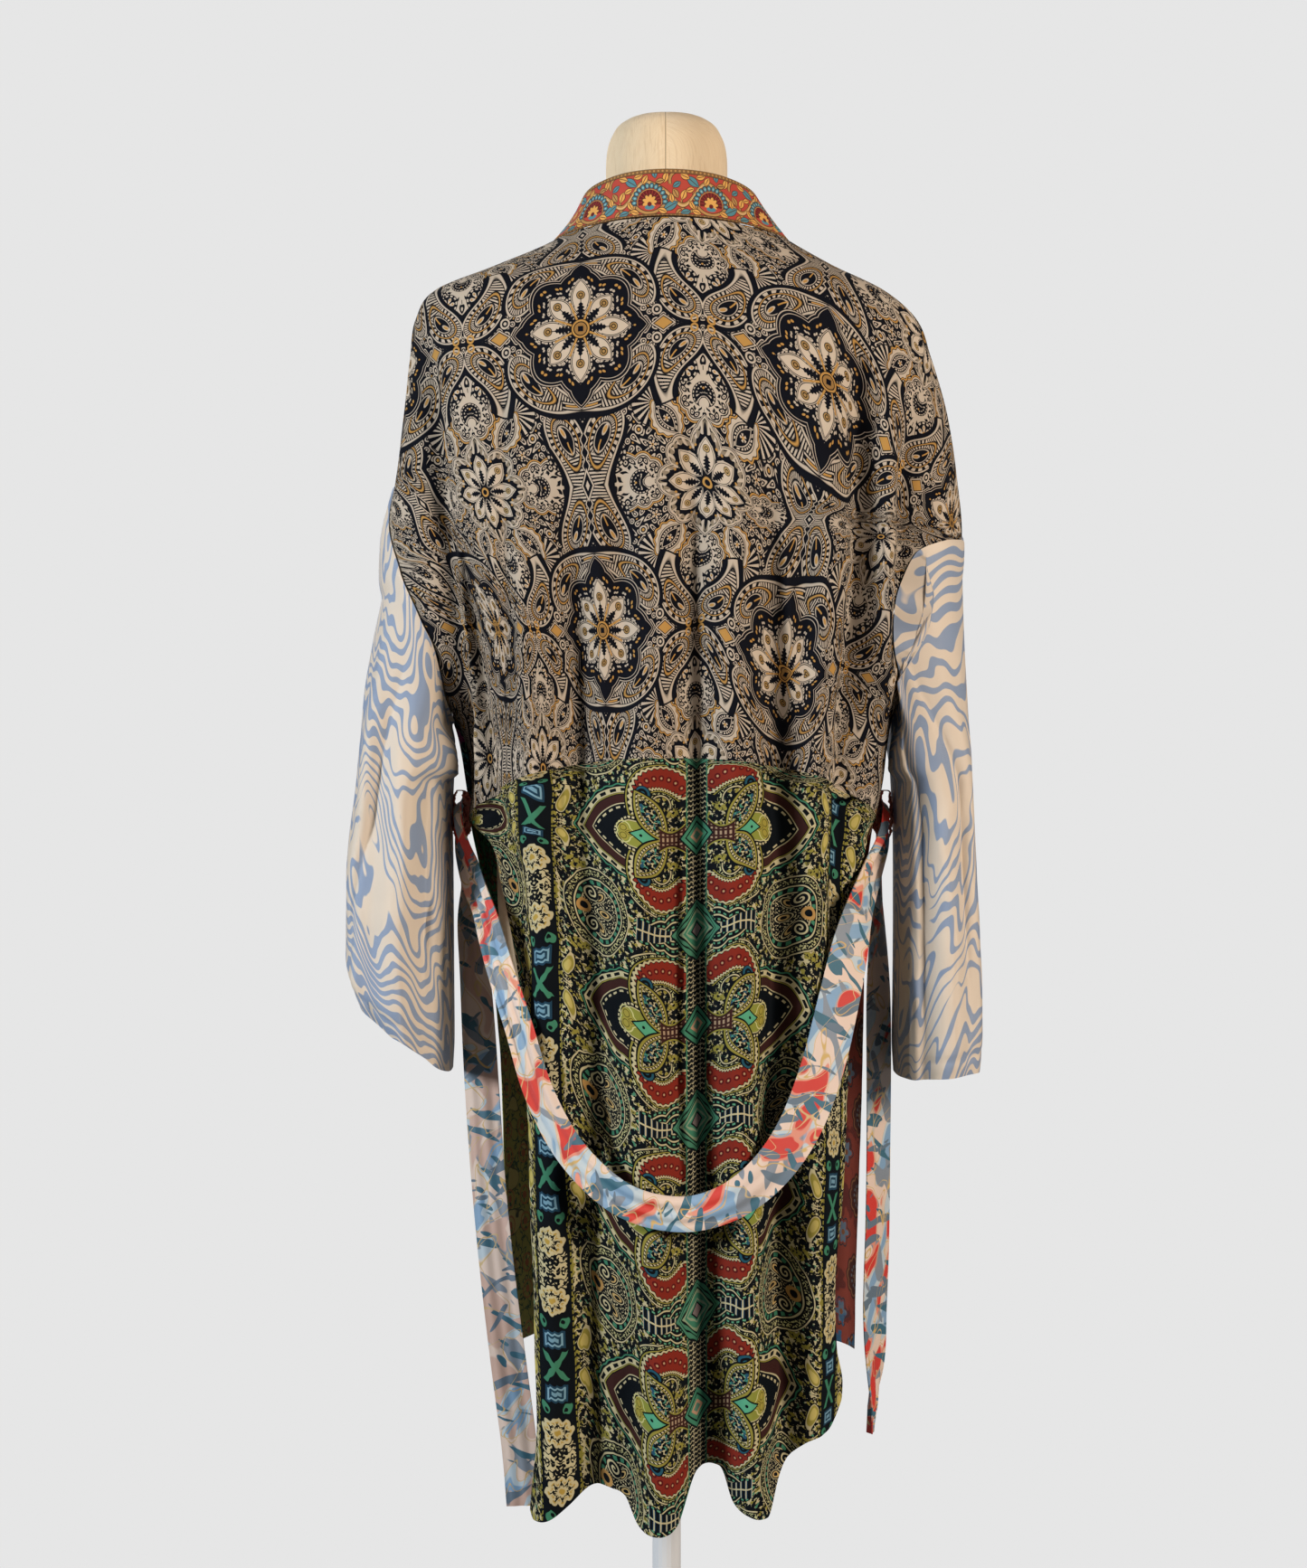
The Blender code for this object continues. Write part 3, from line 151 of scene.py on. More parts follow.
# Cross creases of the back, drawn between two points: x and height at each end, depth, half width, how much it bends
BACK_PULLS = [
    (0.176, 1.300, 0.118, 1.225, -0.0022, 0.008, 0.010), (0.205, 1.205, 0.150, 1.120, -0.0030, 0.007, 0.012),
    (0.196, 1.110, 0.132, 1.030, -0.0026, 0.007, -0.010), (0.182, 1.020, 0.120, 0.960, -0.0030, 0.006, 0.008),
    (-0.200, 1.300, -0.140, 1.235, -0.0022, 0.008, -0.010), (-0.216, 1.170, -0.150, 1.090, -0.0030, 0.007, -0.012),
    (-0.205, 1.060, -0.136, 1.000, -0.0028, 0.006, 0.008), (-0.186, 0.985, -0.110, 0.950, -0.0026, 0.006, -0.006),
    (0.060, 0.955, 0.004, 0.985, -0.0020, 0.007, 0.006), (-0.040, 0.950, -0.100, 0.985, -0.0022, 0.006, -0.006),
    (0.110, 0.870, 0.060, 0.800, -0.0026, 0.007, 0.010), (0.020, 0.880, -0.022, 0.820, -0.0026, 0.007, 0.008),
    (-0.060, 0.880, -0.095, 0.815, -0.0024, 0.006, -0.008), (-0.130, 0.860, -0.158, 0.790, -0.0024, 0.006, -0.006),
    (0.085, 0.690, 0.120, 0.640, -0.0020, 0.006, 0.004), (-0.020, 0.600, 0.030, 0.560, -0.0018, 0.008, 0.006),
]
# sleeve tubes: share of the way to the hem, outer x, inner x, depth back, depth front, middle y
SLEEVE = {1: [
    (0.00, 0.243, 0.190, 0.060, 0.070, -0.004), (0.10, 0.2535, 0.1905, 0.066, 0.074, -0.004), (0.22, 0.261, 0.1910, 0.070, 0.078, -0.004),
    (0.35, 0.265, 0.1905, 0.074, 0.082, -0.004), (0.55, 0.272, 0.1900, 0.080, 0.087, -0.003), (0.75, 0.281, 0.1895, 0.085, 0.090, -0.002),
    (0.92, 0.281, 0.1890, 0.084, 0.088, 0.000), (1.00, 0.268, 0.190, 0.078, 0.080, 0.002)],
    -1: [
    (0.00, 0.262, 0.200, 0.060, 0.070, -0.004), (0.15, 0.264, 0.2005, 0.066, 0.074, -0.004), (0.35, 0.2665, 0.2025, 0.072, 0.080, -0.004),
    (0.55, 0.2695, 0.2025, 0.076, 0.084, -0.003), (0.75, 0.2735, 0.2020, 0.080, 0.086, -0.002), (0.92, 0.2750, 0.2010, 0.080, 0.085, 0.000),
    (1.00, 0.2720, 0.2020, 0.074, 0.078, 0.002)]}
SLEEVE_HEM = {1: (0.762, 0.693), -1: (0.698, 0.690)}
# sleeve folds: angle round the tube (0 outer, 90 back, 180 inner, 270 front), swell, half width in degrees, share where it starts
SLEEVE_FOLDS = {
    1: [(48, 0.010, 17, 0.10), (96, 0.013, 15, 0.00), (140, 0.008, 16, 0.25), (255, 0.011, 18, 0.15), (310, 0.009, 18, 0.30)],
    -1: [(40, 0.008, 17, 0.15), (88, 0.010, 17, 0.10), (133, 0.010, 15, 0.05), (245, 0.010, 18, 0.10), (305, 0.009, 18, 0.35)],
}
# finer sleeve creases: angle and share at each end, depth (a trough where below zero), half width in degrees
SLEEVE_CREASES = {
    1: [(74, 0.02, 66, 0.55, -0.0060, 8), (66, 0.50, 40, 0.95, -0.0070, 8), (118, 0.10, 122, 0.80, -0.0060, 9), (150, 0.35, 112, 0.75, -0.0035, 7),
        (30, 0.20, 22, 0.75, -0.0030, 8), (84, 0.30, 104, 0.70, 0.0020, 5), (235, 0.10, 232, 0.85, -0.0060, 9), (282, 0.20, 286, 0.95, -0.0060, 9),
        (265, 0.05, 250, 0.50, 0.0030, 6), (300, 0.55, 330, 0.90, -0.0030, 7)],
    -1: [(64, 0.05, 62, 0.80, -0.0060, 8), (110, 0.05, 112, 0.90, -0.0065, 8), (150, 0.20, 128, 0.70, -0.0035, 7), (24, 0.25, 34, 0.80, -0.0030, 8),
         (98, 0.35, 78, 0.75, 0.0020, 5), (225, 0.10, 226, 0.85, -0.0060, 9), (275, 0.20, 272, 0.95, -0.0060, 9), (320, 0.40, 300, 0.85, -0.0030, 7)],
}
# dress form: height, half width, depth front, depth back
FORM = [
    (TORSO_BOTTOM, 0.136, 0.086, 0.086), (0.780, 0.141, 0.090, 0.091), (0.830, 0.1475, 0.096, 0.100), (0.880, 0.1490, 0.098, 0.103),
    (0.940, 0.142, 0.096, 0.096), (1.000, 0.126, 0.088, 0.084), (1.040, 0.119, 0.085, 0.080), (1.090, 0.124, 0.092, 0.084),
    (1.140, 0.133, 0.106, 0.090), (1.195, 0.143, 0.119, 0.098), (1.240, 0.153, 0.114, 0.100), (1.290, 0.170, 0.096, 0.094),
    (1.330, 0.190, 0.080, 0.083), (1.352, 0.197, 0.068, 0.073), (1.368, 0.190, 0.061, 0.067), (1.384, 0.166, 0.056, 0.064),
    (1.402, 0.130, 0.053, 0.061), (1.420, 0.090, 0.051, 0.058), (1.438, 0.064, 0.052, 0.055), (1.465, 0.0535, 0.053, 0.0535),
    (1.500, 0.0520, 0.053, 0.053), (1.5155, 0.0475, 0.049, 0.049), (1.526, 0.0390, 0.040, 0.040), (1.5315, 0.0250, 0.026, 0.026),
    (1.5335, 0.0100, 0.010, 0.010),
]
# tie belt along its middle line: x, y (None where it lies on the back), height, share of the full width, turn of its face
BELT = [
    (0.1256, 0.0000, 0.3066, 1.00, 10), (0.1304, -0.0010, 0.3586, 1.00, 12), (0.1408, -0.0020, 0.4386, 1.00, 14),
    (0.1504, -0.0030, 0.5186, 1.00, 16), (0.1584, -0.0040, 0.5986, 1.00, 18), (0.1640, -0.0050, 0.6786, 1.00, 20),
    (0.1688, -0.0070, 0.7600, 1.00, 28), (0.1745, -0.0110, 0.8250, 0.98, 45), (0.1790, -0.0200, 0.8700, 0.85, 72),
    (0.1823, -0.0250, 0.8950, 0.76, 90), (0.1829, -0.0191, 0.9116, 0.76, 90), (0.1830, -0.0050, 0.9175, 0.76, 90),
    (0.1830, 0.0050, 0.9175, 0.76, 90), (0.1826, 0.0191, 0.9116, 0.76, 88), (0.1805, 0.0260, 0.8960, 0.78, 72),
    (0.1715, 0.0370, 0.8680, 0.90, 54), (0.1560, None, 0.8350, 1.00, 38), (0.1420, None, 0.7900, 1.00, 26),
    (0.1250, None, 0.7420, 1.00, 15), (0.1070, None, 0.6870, 1.00, 7), (0.0790, None, 0.6380, 1.00, 2),
    (0.0380, None, 0.6020, 1.00, 0), (-0.0080, None, 0.5890, 1.00, 0), (-0.0480, None, 0.5970, 1.00, 0),
    (-0.0820, None, 0.6210, 1.00, -1), (-0.1090, None, 0.6570, 1.00, -4), (-0.1290, None, 0.7060, 1.00, -10),
    (-0.1440, None, 0.7620, 1.00, -18), (-0.1600, None, 0.8220, 1.00, -34), (-0.1790, 0.0390, 0.8680, 0.90, -60),
    (-0.1895, 0.0260, 0.8960, 0.78, -74), (-0.1918, 0.0191, 0.9116, 0.76, -88), (-0.1922, 0.0050, 0.9175, 0.76, -90),
    (-0.1922, -0.0050, 0.9175, 0.76, -90), (-0.1921, -0.0191, 0.9116, 0.76, -90), (-0.1915, -0.0250, 0.8950, 0.76, -88),
    (-0.1898, -0.0210, 0.8700, 0.88, -78), (-0.1888, -0.0140, 0.8250, 0.98, -66), (-0.1885, -0.0090, 0.7600, 1.00, -52),
    (-0.1883, -0.0070, 0.6800, 1.00, -50), (-0.1876, -0.0060, 0.5586, 1.00, -50), (-0.1850, -0.0060, 0.4786, 1.00, -52),
    (-0.1850, -0.0070, 0.4226, 0.95, -60), (-0.1806, -0.0080, 0.3706, 0.55, -78),
]


# ------------------------------------------------------------------ curves and surfaces
def table(rows, column, key=0):
    """A smooth monotone curve through one column of a table, against its key column."""
    points = sorted((r[key], r[column]) for r in rows)
    x = np.array([p[0] for p in points], float)
    y = np.array([p[1] for p in points], float)
    d = np.diff(y) / np.diff(x)
    m = np.concatenate([[d[0]], (d[:-1] + d[1:]) / 2, [d[-1]]])
    for i in range(len(d)):
        if d[i] == 0:
            m[i] = m[i + 1] = 0
        else:
            m[i] = np.sign(d[i]) * min(abs(m[i]), 3 * abs(d[i])) if m[i] * d[i] > 0 else 0
            m[i + 1] = np.sign(d[i]) * min(abs(m[i + 1]), 3 * abs(d[i])) if m[i + 1] * d[i] > 0 else 0

    def at(v):
        v = np.clip(np.asarray(v, float), x[0], x[-1])
        i = np.clip(np.searchsorted(x, v) - 1, 0, len(d) - 1)
        h = x[i + 1] - x[i]
        t = (v - x[i]) / h
        return ((1 + 2 * t) * (1 - t) ** 2 * y[i] + t * (1 - t) ** 2 * h * m[i]
                + t * t * (3 - 2 * t) * y[i + 1] + t * t * (t - 1) * h * m[i + 1])

    return at


A_LEFT, A_RIGHT, B_BACK, F_FRONT, SQUARE = (table(BODY, k) for k in range(1, 6))
RISE_AT, SEAM_AT, OPEN_AT, HEM_AT = table(RISE, 1), table(SEAM_ANGLE, 1), table(OPENING, 1), table(BACK_HEM, 1)
HOLE = {1: table(ARMHOLE, 1), -1: table(ARMHOLE, 2)}
EDGE = {1: table(BACK_EDGE, 1), -1: table(BACK_EDGE, 2)}
FRONT_AT = {1: table(FRONT_EDGE, 1), -1: table(FRONT_EDGE, 2)}


def smooth(t):
    t = np.clip(t, 0, 1)
    return t * t * (3 - 2 * t)


def ridges(rows):
    made = []
    for name in dict.fromkeys(r[0] for r in rows):
        own = [r for r in rows if r[0] == name]
        made.append((min(r[1] for r in own), max(r[1] for r in own), *(table(own, k, 1) for k in range(2, len(own[0])))))
    return made


BACK_RIDGES, FRONT_RIDGES, CREASES, TROUGHS = ridges(BACK_FOLDS), ridges(FRONT_FOLDS), ridges(BACK_CREASES), ridges(BACK_TROUGHS)
ROOM_AT = table(ROOM, 1)


def swell(found, x, z):
    out = np.zeros(np.broadcast(x, z).shape)
    for low, high, centre, height, width in found:
        lasting = np.where(z > high, 0.0, np.clip(1 - (low - z) / 0.05, 0, 1))
        out += lasting * height(z) * np.exp(-((x - centre(z)) / width(z)) ** 2)
    return out


def creased(x, z):
    """The finer creases of the back: sharper at the bottom of a trough than the folds are."""
    out = np.zeros(np.broadcast(x, z).shape)
    for low, high, centre, height, width in CREASES:
        lasting = np.where(z > high, 0.0, np.clip(1 - (low - z) / 0.03, 0, 1))
        t = (x - centre(z)) / width(z)
        out += lasting * height(z) * np.exp(-(np.sqrt(t * t + 0.05) - 0.22) ** 1.0 * 1.25)
    for x0, z0, x1, z1, depth, width, bow in BACK_PULLS:
        long = math.hypot(x1 - x0, z1 - z0)
        ux, uz = (x1 - x0) / long, (z1 - z0) / long
        s = ((x - x0) * ux + (z - z0) * uz) / long
        off = -(x - x0) * uz + (z - z0) * ux - bow * 4 * np.clip(s, 0, 1) * (1 - np.clip(s, 0, 1))
        fade = smooth(s / 0.25) * smooth((1 - s) / 0.35)
        out += depth * fade * (np.exp(-(off / width) ** 2) - 0.45 * np.exp(-((off - width * 1.6) / width) ** 2))
    return out


def trough(x, z):
    """The deep troughs: pointed at the bottom, often steeper on one side."""
    out = np.zeros(np.broadcast(x, z).shape)
    for low, high, centre, depth, plus, minus in TROUGHS:
        lasting = np.where(z > high, 0.0, np.clip(1 - (low - z) / 0.03, 0, 1))
        t = x - centre(z)
        t = np.where(t > 0, t / plus(z), -t / minus(z))
        out = np.maximum(out, lasting * depth(z) * np.exp(-(np.sqrt(t * t + 0.09) - 0.3) ** 1.5))
    return out


def softly(x, z):
    """Small unevenness that hanging cloth has everywhere, under a millimetre high."""
    return (0.00050 * np.sin(x * 61 + 2.0 * np.sin(z * 17)) * np.sin(z * 23 + 1.7 * np.sin(x * 19))
            + 0.00028 * np.sin(x * 143 + z * 31 + 1.9 * np.sin(z * 41)) + 0.00018 * np.sin(z * 190 + 5 * np.sin(x * 37)))


def ring_point(angle, z, fine=True, plain=False):
    """Points of the robe's body at ring angles (0 middle back, 90 the wearer's left, -90 right, 180 middle front)."""
    angle, z = np.broadcast_arrays(np.asarray(angle, float), np.asarray(z, float))
    a = np.radians(angle)
    s, c = np.sin(a), np.cos(a)
    half = np.where(s >= 0, A_LEFT(z), A_RIGHT(z))
    deep = np.where(c >= 0, B_BACK(z), F_FRONT(z))
    n = SQUARE(z)
    x = half * np.sign(s) * np.abs(s) ** (2 / n)
    y = deep * np.sign(c) * np.abs(c) ** (2 / n)
    nx = np.sign(x) * np.abs(x / half) ** (n - 1) / half
    ny = np.sign(y) * np.abs(y / deep) ** (n - 1) / deep
    long = np.hypot(nx, ny)
    back = swell(BACK_RIDGES, x, z)
    front = swell(FRONT_RIDGES, np.abs(x) + np.where(x < 0, 0.006, 0), z)
    fade = np.minimum(1.0, np.abs(y) / 0.030)
    if fine:
        deep_in = 0 if plain else trough(x, z)
        back = back + creased(x, z) + softly(x, z) - deep_in
        front = front + 0.8 * creased(x * -0.93 + 0.011, z - 0.02) + softly(x + 0.3, z) - (0 if plain else 0.55 * trough(x * -0.93 + 0.011, z - 0.02))
    out = np.where(c >= 0, back, front) * fade
    if fine:  # no trough goes deeper than the form's own clearance allows
        out = np.maximum(out, np.where(c >= 0, -ROOM_AT(z), -0.0085 * smooth((1.36 - z) / 0.10)))
        # beside the form there is more room, and the troughs there go straight in
        aside = np.where(c >= 0, smooth((np.abs(x) - 0.135) / 0.03), 0.0) * (0 if plain else trough(x, z)) * np.sign(x)
        return np.stack([x + out * 0.35 * nx / long - aside * 0.62 * np.abs(nx) / long, y + out * ny / long - np.abs(aside) * 0.35 * ny / long, z], axis=-1)
    return np.stack([x + out * 0.35 * nx / long, y + out * ny / long, z], axis=-1)


def angle_of_x(x, z, back=True):
    half = np.where(x >= 0, A_LEFT(z), A_RIGHT(z))
    a = np.degrees(np.arcsin(np.minimum(1.0, (np.abs(x) / half) ** (SQUARE(z) / 2))))
    return np.sign(x) * (a if back else 180 - a)


def drawn(angle, z_side):
    """The height of a woven line at a ring angle, from its height at the side."""
    g = 1 - np.abs(np.cos(np.radians(np.minimum(np.abs(angle), 90)))) ** 1.3
    return z_side + RISE_AT(z_side) * (1 - g)


def edge_angle(side, z, back):
    a = HOLE[side](z)
    hole = a if back else 90 + (90 - a) * 0.92
    return np.where((z > UNDERARM) & (z < RIDGE_END[side]), hole, SEAM_AT(z))


def spread(*stops):
    """Values from the first stop to the last, each (value, number of steps on from it)."""
    out = []
    for (a, n), (b, _) in zip(stops, stops[1:]):
        out += list(np.linspace(a, b, n, endpoint=False))
    return np.array(out + [stops[-1][0]])


# ------------------------------------------------------------------ panels
def yoke_grid(plain=False):
    zs = spread((1.421, 16), (1.379, 14), (1.330, 30), (RIDGE_END[1], 12), (RIDGE_END[-1], 44), (UNDERARM, 30), (WAIST_SIDE, 0))
    ts = np.linspace(1, -1, 241)
    left, right = edge_angle(1, zs, True), edge_angle(-1, zs, True)
    angle = ts[None, :] * np.where(ts[None, :] >= 0, left[:, None], right[:, None])
    return ring_point(angle, drawn(angle, zs[:, None]), plain=plain)


def front_upper_grid(side, columns=52):
    zs = spread((1.410, 10), (1.379, 12), (1.330, 26), (RIDGE_END[1], 10), (RIDGE_END[-1], 40), (UNDERARM, 28), (WAIST_SIDE, 0))
    outer = edge_angle(side, zs, False)
    inner = np.abs(angle_of_x(OPEN_AT(zs), zs, False))
    t = np.linspace(0, 1, columns + 1)[None, :]
    return ring_point(side * (outer[:, None] + (inner - outer)[:, None] * t), zs[:, None])


def skirt_grid(columns=250, rows=150, plain=False):
    ts = np.linspace(1, -1, columns + 1)[None, :]
    ks = np.linspace(0, 1, rows + 1)[:, None]
    top = drawn(ts * 90, WAIST_SIDE)
    z = top + (HEM_AT(ts) - top) * ks
    edge = np.where(ts >= 0, np.abs(angle_of_x(EDGE[1](z), z)), np.abs(angle_of_x(EDGE[-1](z), z)))
    edge = np.where(ks > 0, edge, 90.0)
    return ring_point(ts * edge, z, plain=plain)


def front_lower_grid(side, columns=52, rows=110):
    z = np.linspace(WAIST_SIDE, FRONT_HEM, rows + 1)[:, None]
    outer, inner = FRONT_AT[side](z), np.abs(angle_of_x(OPEN_AT(z), z, False))
    t = np.linspace(0, 1, columns + 1)[None, :]
    return ring_point(side * (outer + (inner - outer) * t), z)


def side_rows():
    return [1.421, 1.410, 1.399, 1.389, 1.379, 1.362, 1.330, 1.290, 1.250, RIDGE_END[1], RIDGE_END[-1], 1.138,
            1.100, 1.066, 1.040, 1.022, 1.008, UNDERARM, 0.958, WAIST_SIDE]


def clear_of_body(p, side, gap):
    """Moves a sleeve's points sideways until they stand clear of the body panels."""
    x, y, z = p[..., 0], p[..., 1], p[..., 2]
    fade = np.minimum(1.0, np.abs(y) / 0.030)
    gap = gap + np.where(y >= 0, swell(BACK_RIDGES, x, z), swell(FRONT_RIDGES, np.abs(x), z)) * fade
    half = (A_LEFT(z) if side > 0 else A_RIGHT(z)) + gap
    deep = np.where(y >= 0, B_BACK(z), F_FRONT(z)) + gap
    n = SQUARE(z)
    share = np.clip(1 - (np.abs(y) / deep) ** n, 0, 1)
    least = half * share ** (1 / n)
    out = p.copy()
    out[..., 0] = np.where(np.abs(y) >= deep, x, side * np.maximum(side * x, least))
    return out


def sleeve_grid(side, columns=168, rows=120):
    top, (hem_out, hem_in) = RIDGE_END[side], SLEEVE_HEM[side]
    heights = [z for z in side_rows() if UNDERARM <= z <= top]
    place = table([(180 * i / (len(heights) - 1), z) for i, z in enumerate(heights)], 1)
    angle = np.linspace(0, 360, columns, endpoint=False)
    at = place(np.minimum(angle, 360 - angle))
    back = angle <= 180
    e = np.where(back, edge_angle(side, at, True), edge_angle(side, at, False))
    ring = ring_point(side * e, np.where(back, drawn(e, at), at))
    x, y, z = ring.T
    n = SQUARE(z)
    half, deep = (A_LEFT(z) if side > 0 else A_RIGHT(z)), np.where(y >= 0, B_BACK(z), F_FRONT(z))
    away = np.stack([np.sign(x) * np.abs(x / half) ** (n - 1) / half, np.sign(y) * np.abs(y / deep) ** (n - 1) / deep, 0 * x], -1)
    away /= np.linalg.norm(away, axis=1, keepdims=True)
    ring = ring + away * (0.0019 * np.minimum(1.0, np.minimum(angle, 360 - angle) / 45))[:, None]
    w = np.linspace(0, 1, rows + 1)[:, None]
    outer, inner, deep_b, deep_f, mid = (table(SLEEVE[side], k)(w) for k in range(1, 6))
    a = np.radians(angle)[None, :]
    c, s = np.cos(a), np.sin(a)
    z_out, z_in = top + (hem_out - top) * w, UNDERARM + (hem_in - UNDERARM) * w
    x = (outer + inner) / 2 + (outer - inner) / 2 * np.sign(c) * np.abs(c) ** 0.8
    y = mid + np.where(s >= 0, deep_b, deep_f) * np.sign(s) * np.abs(s) ** 0.8
    z = (z_out + z_in) / 2 + (z_out - z_in) / 2 * c
    out = np.zeros(z.shape)
    for centre, height, width, start in SLEEVE_FOLDS[side]:
        off = (angle[None, :] - centre + 180) % 360 - 180
        out += height * np.clip((w - start) / 0.35, 0, 1) * np.exp(-(off / width) ** 2)
    for a0, w0, a1, w1, depth, width in SLEEVE_CREASES[side]:
        t = (w - w0) / (w1 - w0)
        off = (angle[None, :] - (a0 + (a1 - a0) * np.clip(t, 0, 1)) + 180) % 360 - 180
        out += depth * smooth((t + 0.15) / 0.35) * smooth((1.15 - t) / 0.35) * np.exp(-(np.sqrt((off / width) ** 2 + 0.05) - 0.22) * 1.25)
    # the turned hem, with its row of stitches
    out += 0.0007 * smooth((w - 0.958) / 0.006) - 0.0016 * np.exp(-((w - 0.962) / 0.005) ** 2)
    out += 0.0006 * np.sin(a * 9 + 3 * np.sin(w * 9)) * np.sin(w * 31 + 2 * np.sin(a * 3)) * np.minimum(1, w / 0.1)
    x = x + out * c * np.where(c < 0, 0, 0.35)
    y = y + out * np.sign(s) * np.minimum(1.0, np.abs(s) * 1.5)
    z = z + (ring[None, :, 2] - (top + UNDERARM) / 2 - (top - UNDERARM) / 2 * c) * (1 - w)
    e = smooth(w / 0.42)
    p = np.stack([ring[None, :, 0] * (1 - e) + side * x * e, ring[None, :, 1] * (1 - e) + y * e, z], -1)
    # above the belt loop the back of the sleeve sags against the robe's side
    lean = smooth((p[..., 1] - 0.006) / 0.012) * smooth((p[..., 2] - 0.946) / 0.014) * smooth((UNDERARM - p[..., 2]) / 0.03) * np.clip(-c, 0, 1) ** 0.6
    p[..., 0] -= side * lean * (0.014 if side > 0 else 0.008)
    p[0] = ring
    p[1:] = clear_of_body(p[1:], side, 0.0020 + 0.0015 * np.minimum(1.0, w[1:] / 0.08))
    return p


def band_edge():
    """The neck band's seam, from the left front hem round the neck to the right, with the way the band leaves it."""
    seam = []

    def front(side):
        run = []
        for p in list(front_upper_grid(side, 2)[:, -1]) + list(front_lower_grid(side, 2)[1:, -1]):
            flat, standing = np.array([-side * 1.0, -0.10, 0.0]), np.array([-side * 0.72, -0.05, 0.62])
            k = smooth((p[2] - 1.25) / 0.16)
            run.append((p, flat * (1 - k) + standing * k))
        return run

    seam += front(1)[::-1]
    for p in yoke_grid()[0][4:-4:3]:
        round_neck = np.array([-p[0], -p[1] * 0.9, 0.0])
        round_neck /= max(np.linalg.norm(round_neck), 1e-9)
        k = min(1.0, abs(p[0]) / 0.10) ** 2
        seam.append((p, round_neck * (0.16 + 0.50 * k) + np.array([0, 0, 1.0 - 0.32 * k])))
    return seam + front(-1)


def even(points, step):
    """The same line with points at an even step."""
    at = np.concatenate([[0], np.cumsum(np.linalg.norm(np.diff(points[:, :3], axis=0), axis=1))])
    marks = np.linspace(0, at[-1], int(math.ceil(at[-1] / step)) + 1)
    return np.stack([np.interp(marks, at, points[:, k]) for k in range(points.shape[1])], axis=1)


def eased(values, times):
    v = values.copy()
    for _ in range(times):
        v[1:-1] = (v[:-2] + 2 * v[1:-1] + v[2:]) / 4
    return v


def band_grid(across=14):
    seam = np.array([[*p, *(d / np.linalg.norm(d))] for p, d in band_edge()])
    line = eased(even(seam, 0.005), 6)
    along, lean = line[:, :3], line[:, 3:]
    lean = eased(lean, 30)
    tangent = np.gradient(along, axis=0)
    tangent /= np.linalg.norm(tangent, axis=1, keepdims=True)
    lean = lean - tangent * (lean * tangent).sum(1, keepdims=True)
    lean /= np.linalg.norm(lean, axis=1, keepdims=True)
    face = np.cross(tangent, lean)
    k = np.linspace(0, 1, across + 1)[:, None, None]
    wave = np.sin(np.arange(len(along)) * 0.23)[None, :, None] * 0.0006 + np.sin(np.arange(len(along)) * 0.071 + 1)[None, :, None] * 0.0008
    return along[None] + lean[None] * (0.0016 + k * (BAND_WIDTH - 0.0016)) + face[None] * wave * np.sin(k * math.pi)


def surface_y(x, z):
    half = A_LEFT(z) if x >= 0 else A_RIGHT(z)
    return float(ring_point(angle_of_x(np.clip(x, -half, half), z), z, False)[1])


def belt_line(step=0.004):
    rows = [list(r) for r in BELT]
    for r in rows:
        if r[1] is None:
            near = [(dx, dz) for dx in (-0.016, -0.008, 0, 0.008, 0.016) for dz in (-0.018, 0, 0.018)]
            r[1] = max(surface_y(r[0] + dx, r[2] + dz) for dx, dz in near) + 0.0060
            r.append(True)
    laid = [i for i, r in enumerate(rows) if len(r) > 5]
    for _ in range(2):
        ys = [r[1] for r in rows]
        for i in laid:
            rows[i][1] = max(ys[i], (ys[i - 1] + ys[i + 1]) / 2)
    p = np.array([r[:5] for r in rows], float)
    ends = np.vstack([2 * p[0] - p[1], p, 2 * p[-1] - p[-2]])
    fine = []
    for i in range(1, len(ends) - 2):
        a, b, c, d = ends[i - 1:i + 3]
        for t in np.linspace(0, 1, 16, endpoint=False):
            fine.append(0.5 * (2 * b + (c - a) * t + (2 * a - 5 * b + 4 * c - d) * t ** 2 + (3 * b - a - 3 * c + d) * t ** 3))
    return even(np.array(fine + [ends[-2]]), step)


def belt_grid(across=14):
    line = belt_line()
    centre, share, lean = line[:, :3], line[:, 3:4], np.radians(line[:, 4])
    t = np.gradient(centre, axis=0)
    t /= np.linalg.norm(t, axis=1, keepdims=True)
    face = np.stack([np.sin(lean), np.cos(lean), 0 * lean], -1)
    face = face - t * (face * t).sum(1, keepdims=True)
    face = eased(face / np.linalg.norm(face, axis=1, keepdims=True), 8)
    face /= np.linalg.norm(face, axis=1, keepdims=True)
    side = np.cross(t, face)
    k = np.linspace(-1, 1, across + 1)[:, None]
    n = np.arange(len(centre))[None, :]
    # the sag turns its edges in, most of all at the wearer's left, and so does the left hanging end a little
    behind = smooth((centre[:, 1] - 0.04) / 0.03)
    turned = 1 - behind * (1 - np.interp(centre[:, 0], [-0.12, -0.03, 0.05, 0.12, 0.17], [1.0, 0.80, 0.74, 0.66, 0.66]))
    turned = turned * (1 - 0.12 * (1 - behind) * smooth((centre[:, 0] - 0.10) / 0.03) * smooth((0.84 - centre[:, 2]) / 0.06))
    # where it is drawn narrow its width goes into lengthwise pleats
    pinch = (1 - share[:, 0] * (1 - 0.35 * (1 - turned)))[None, :]
    share = share * eased(turned[:, None], 12)
    pleat = 0.0030 * np.clip(pinch * 4, 0, 1) * np.sin(k * 8.5) + 0.00055 * np.sin(n * 0.16 + k * 2) * (1 - k * k) + 0.0010 * np.cos(k * 2.4 + n * 0.045) * np.sin(n * 0.05)
    return (centre[None] + side[None] * (k * BELT_WIDTH / 2)[..., None] * share[None]
            + face[None] * pleat[..., None]), n


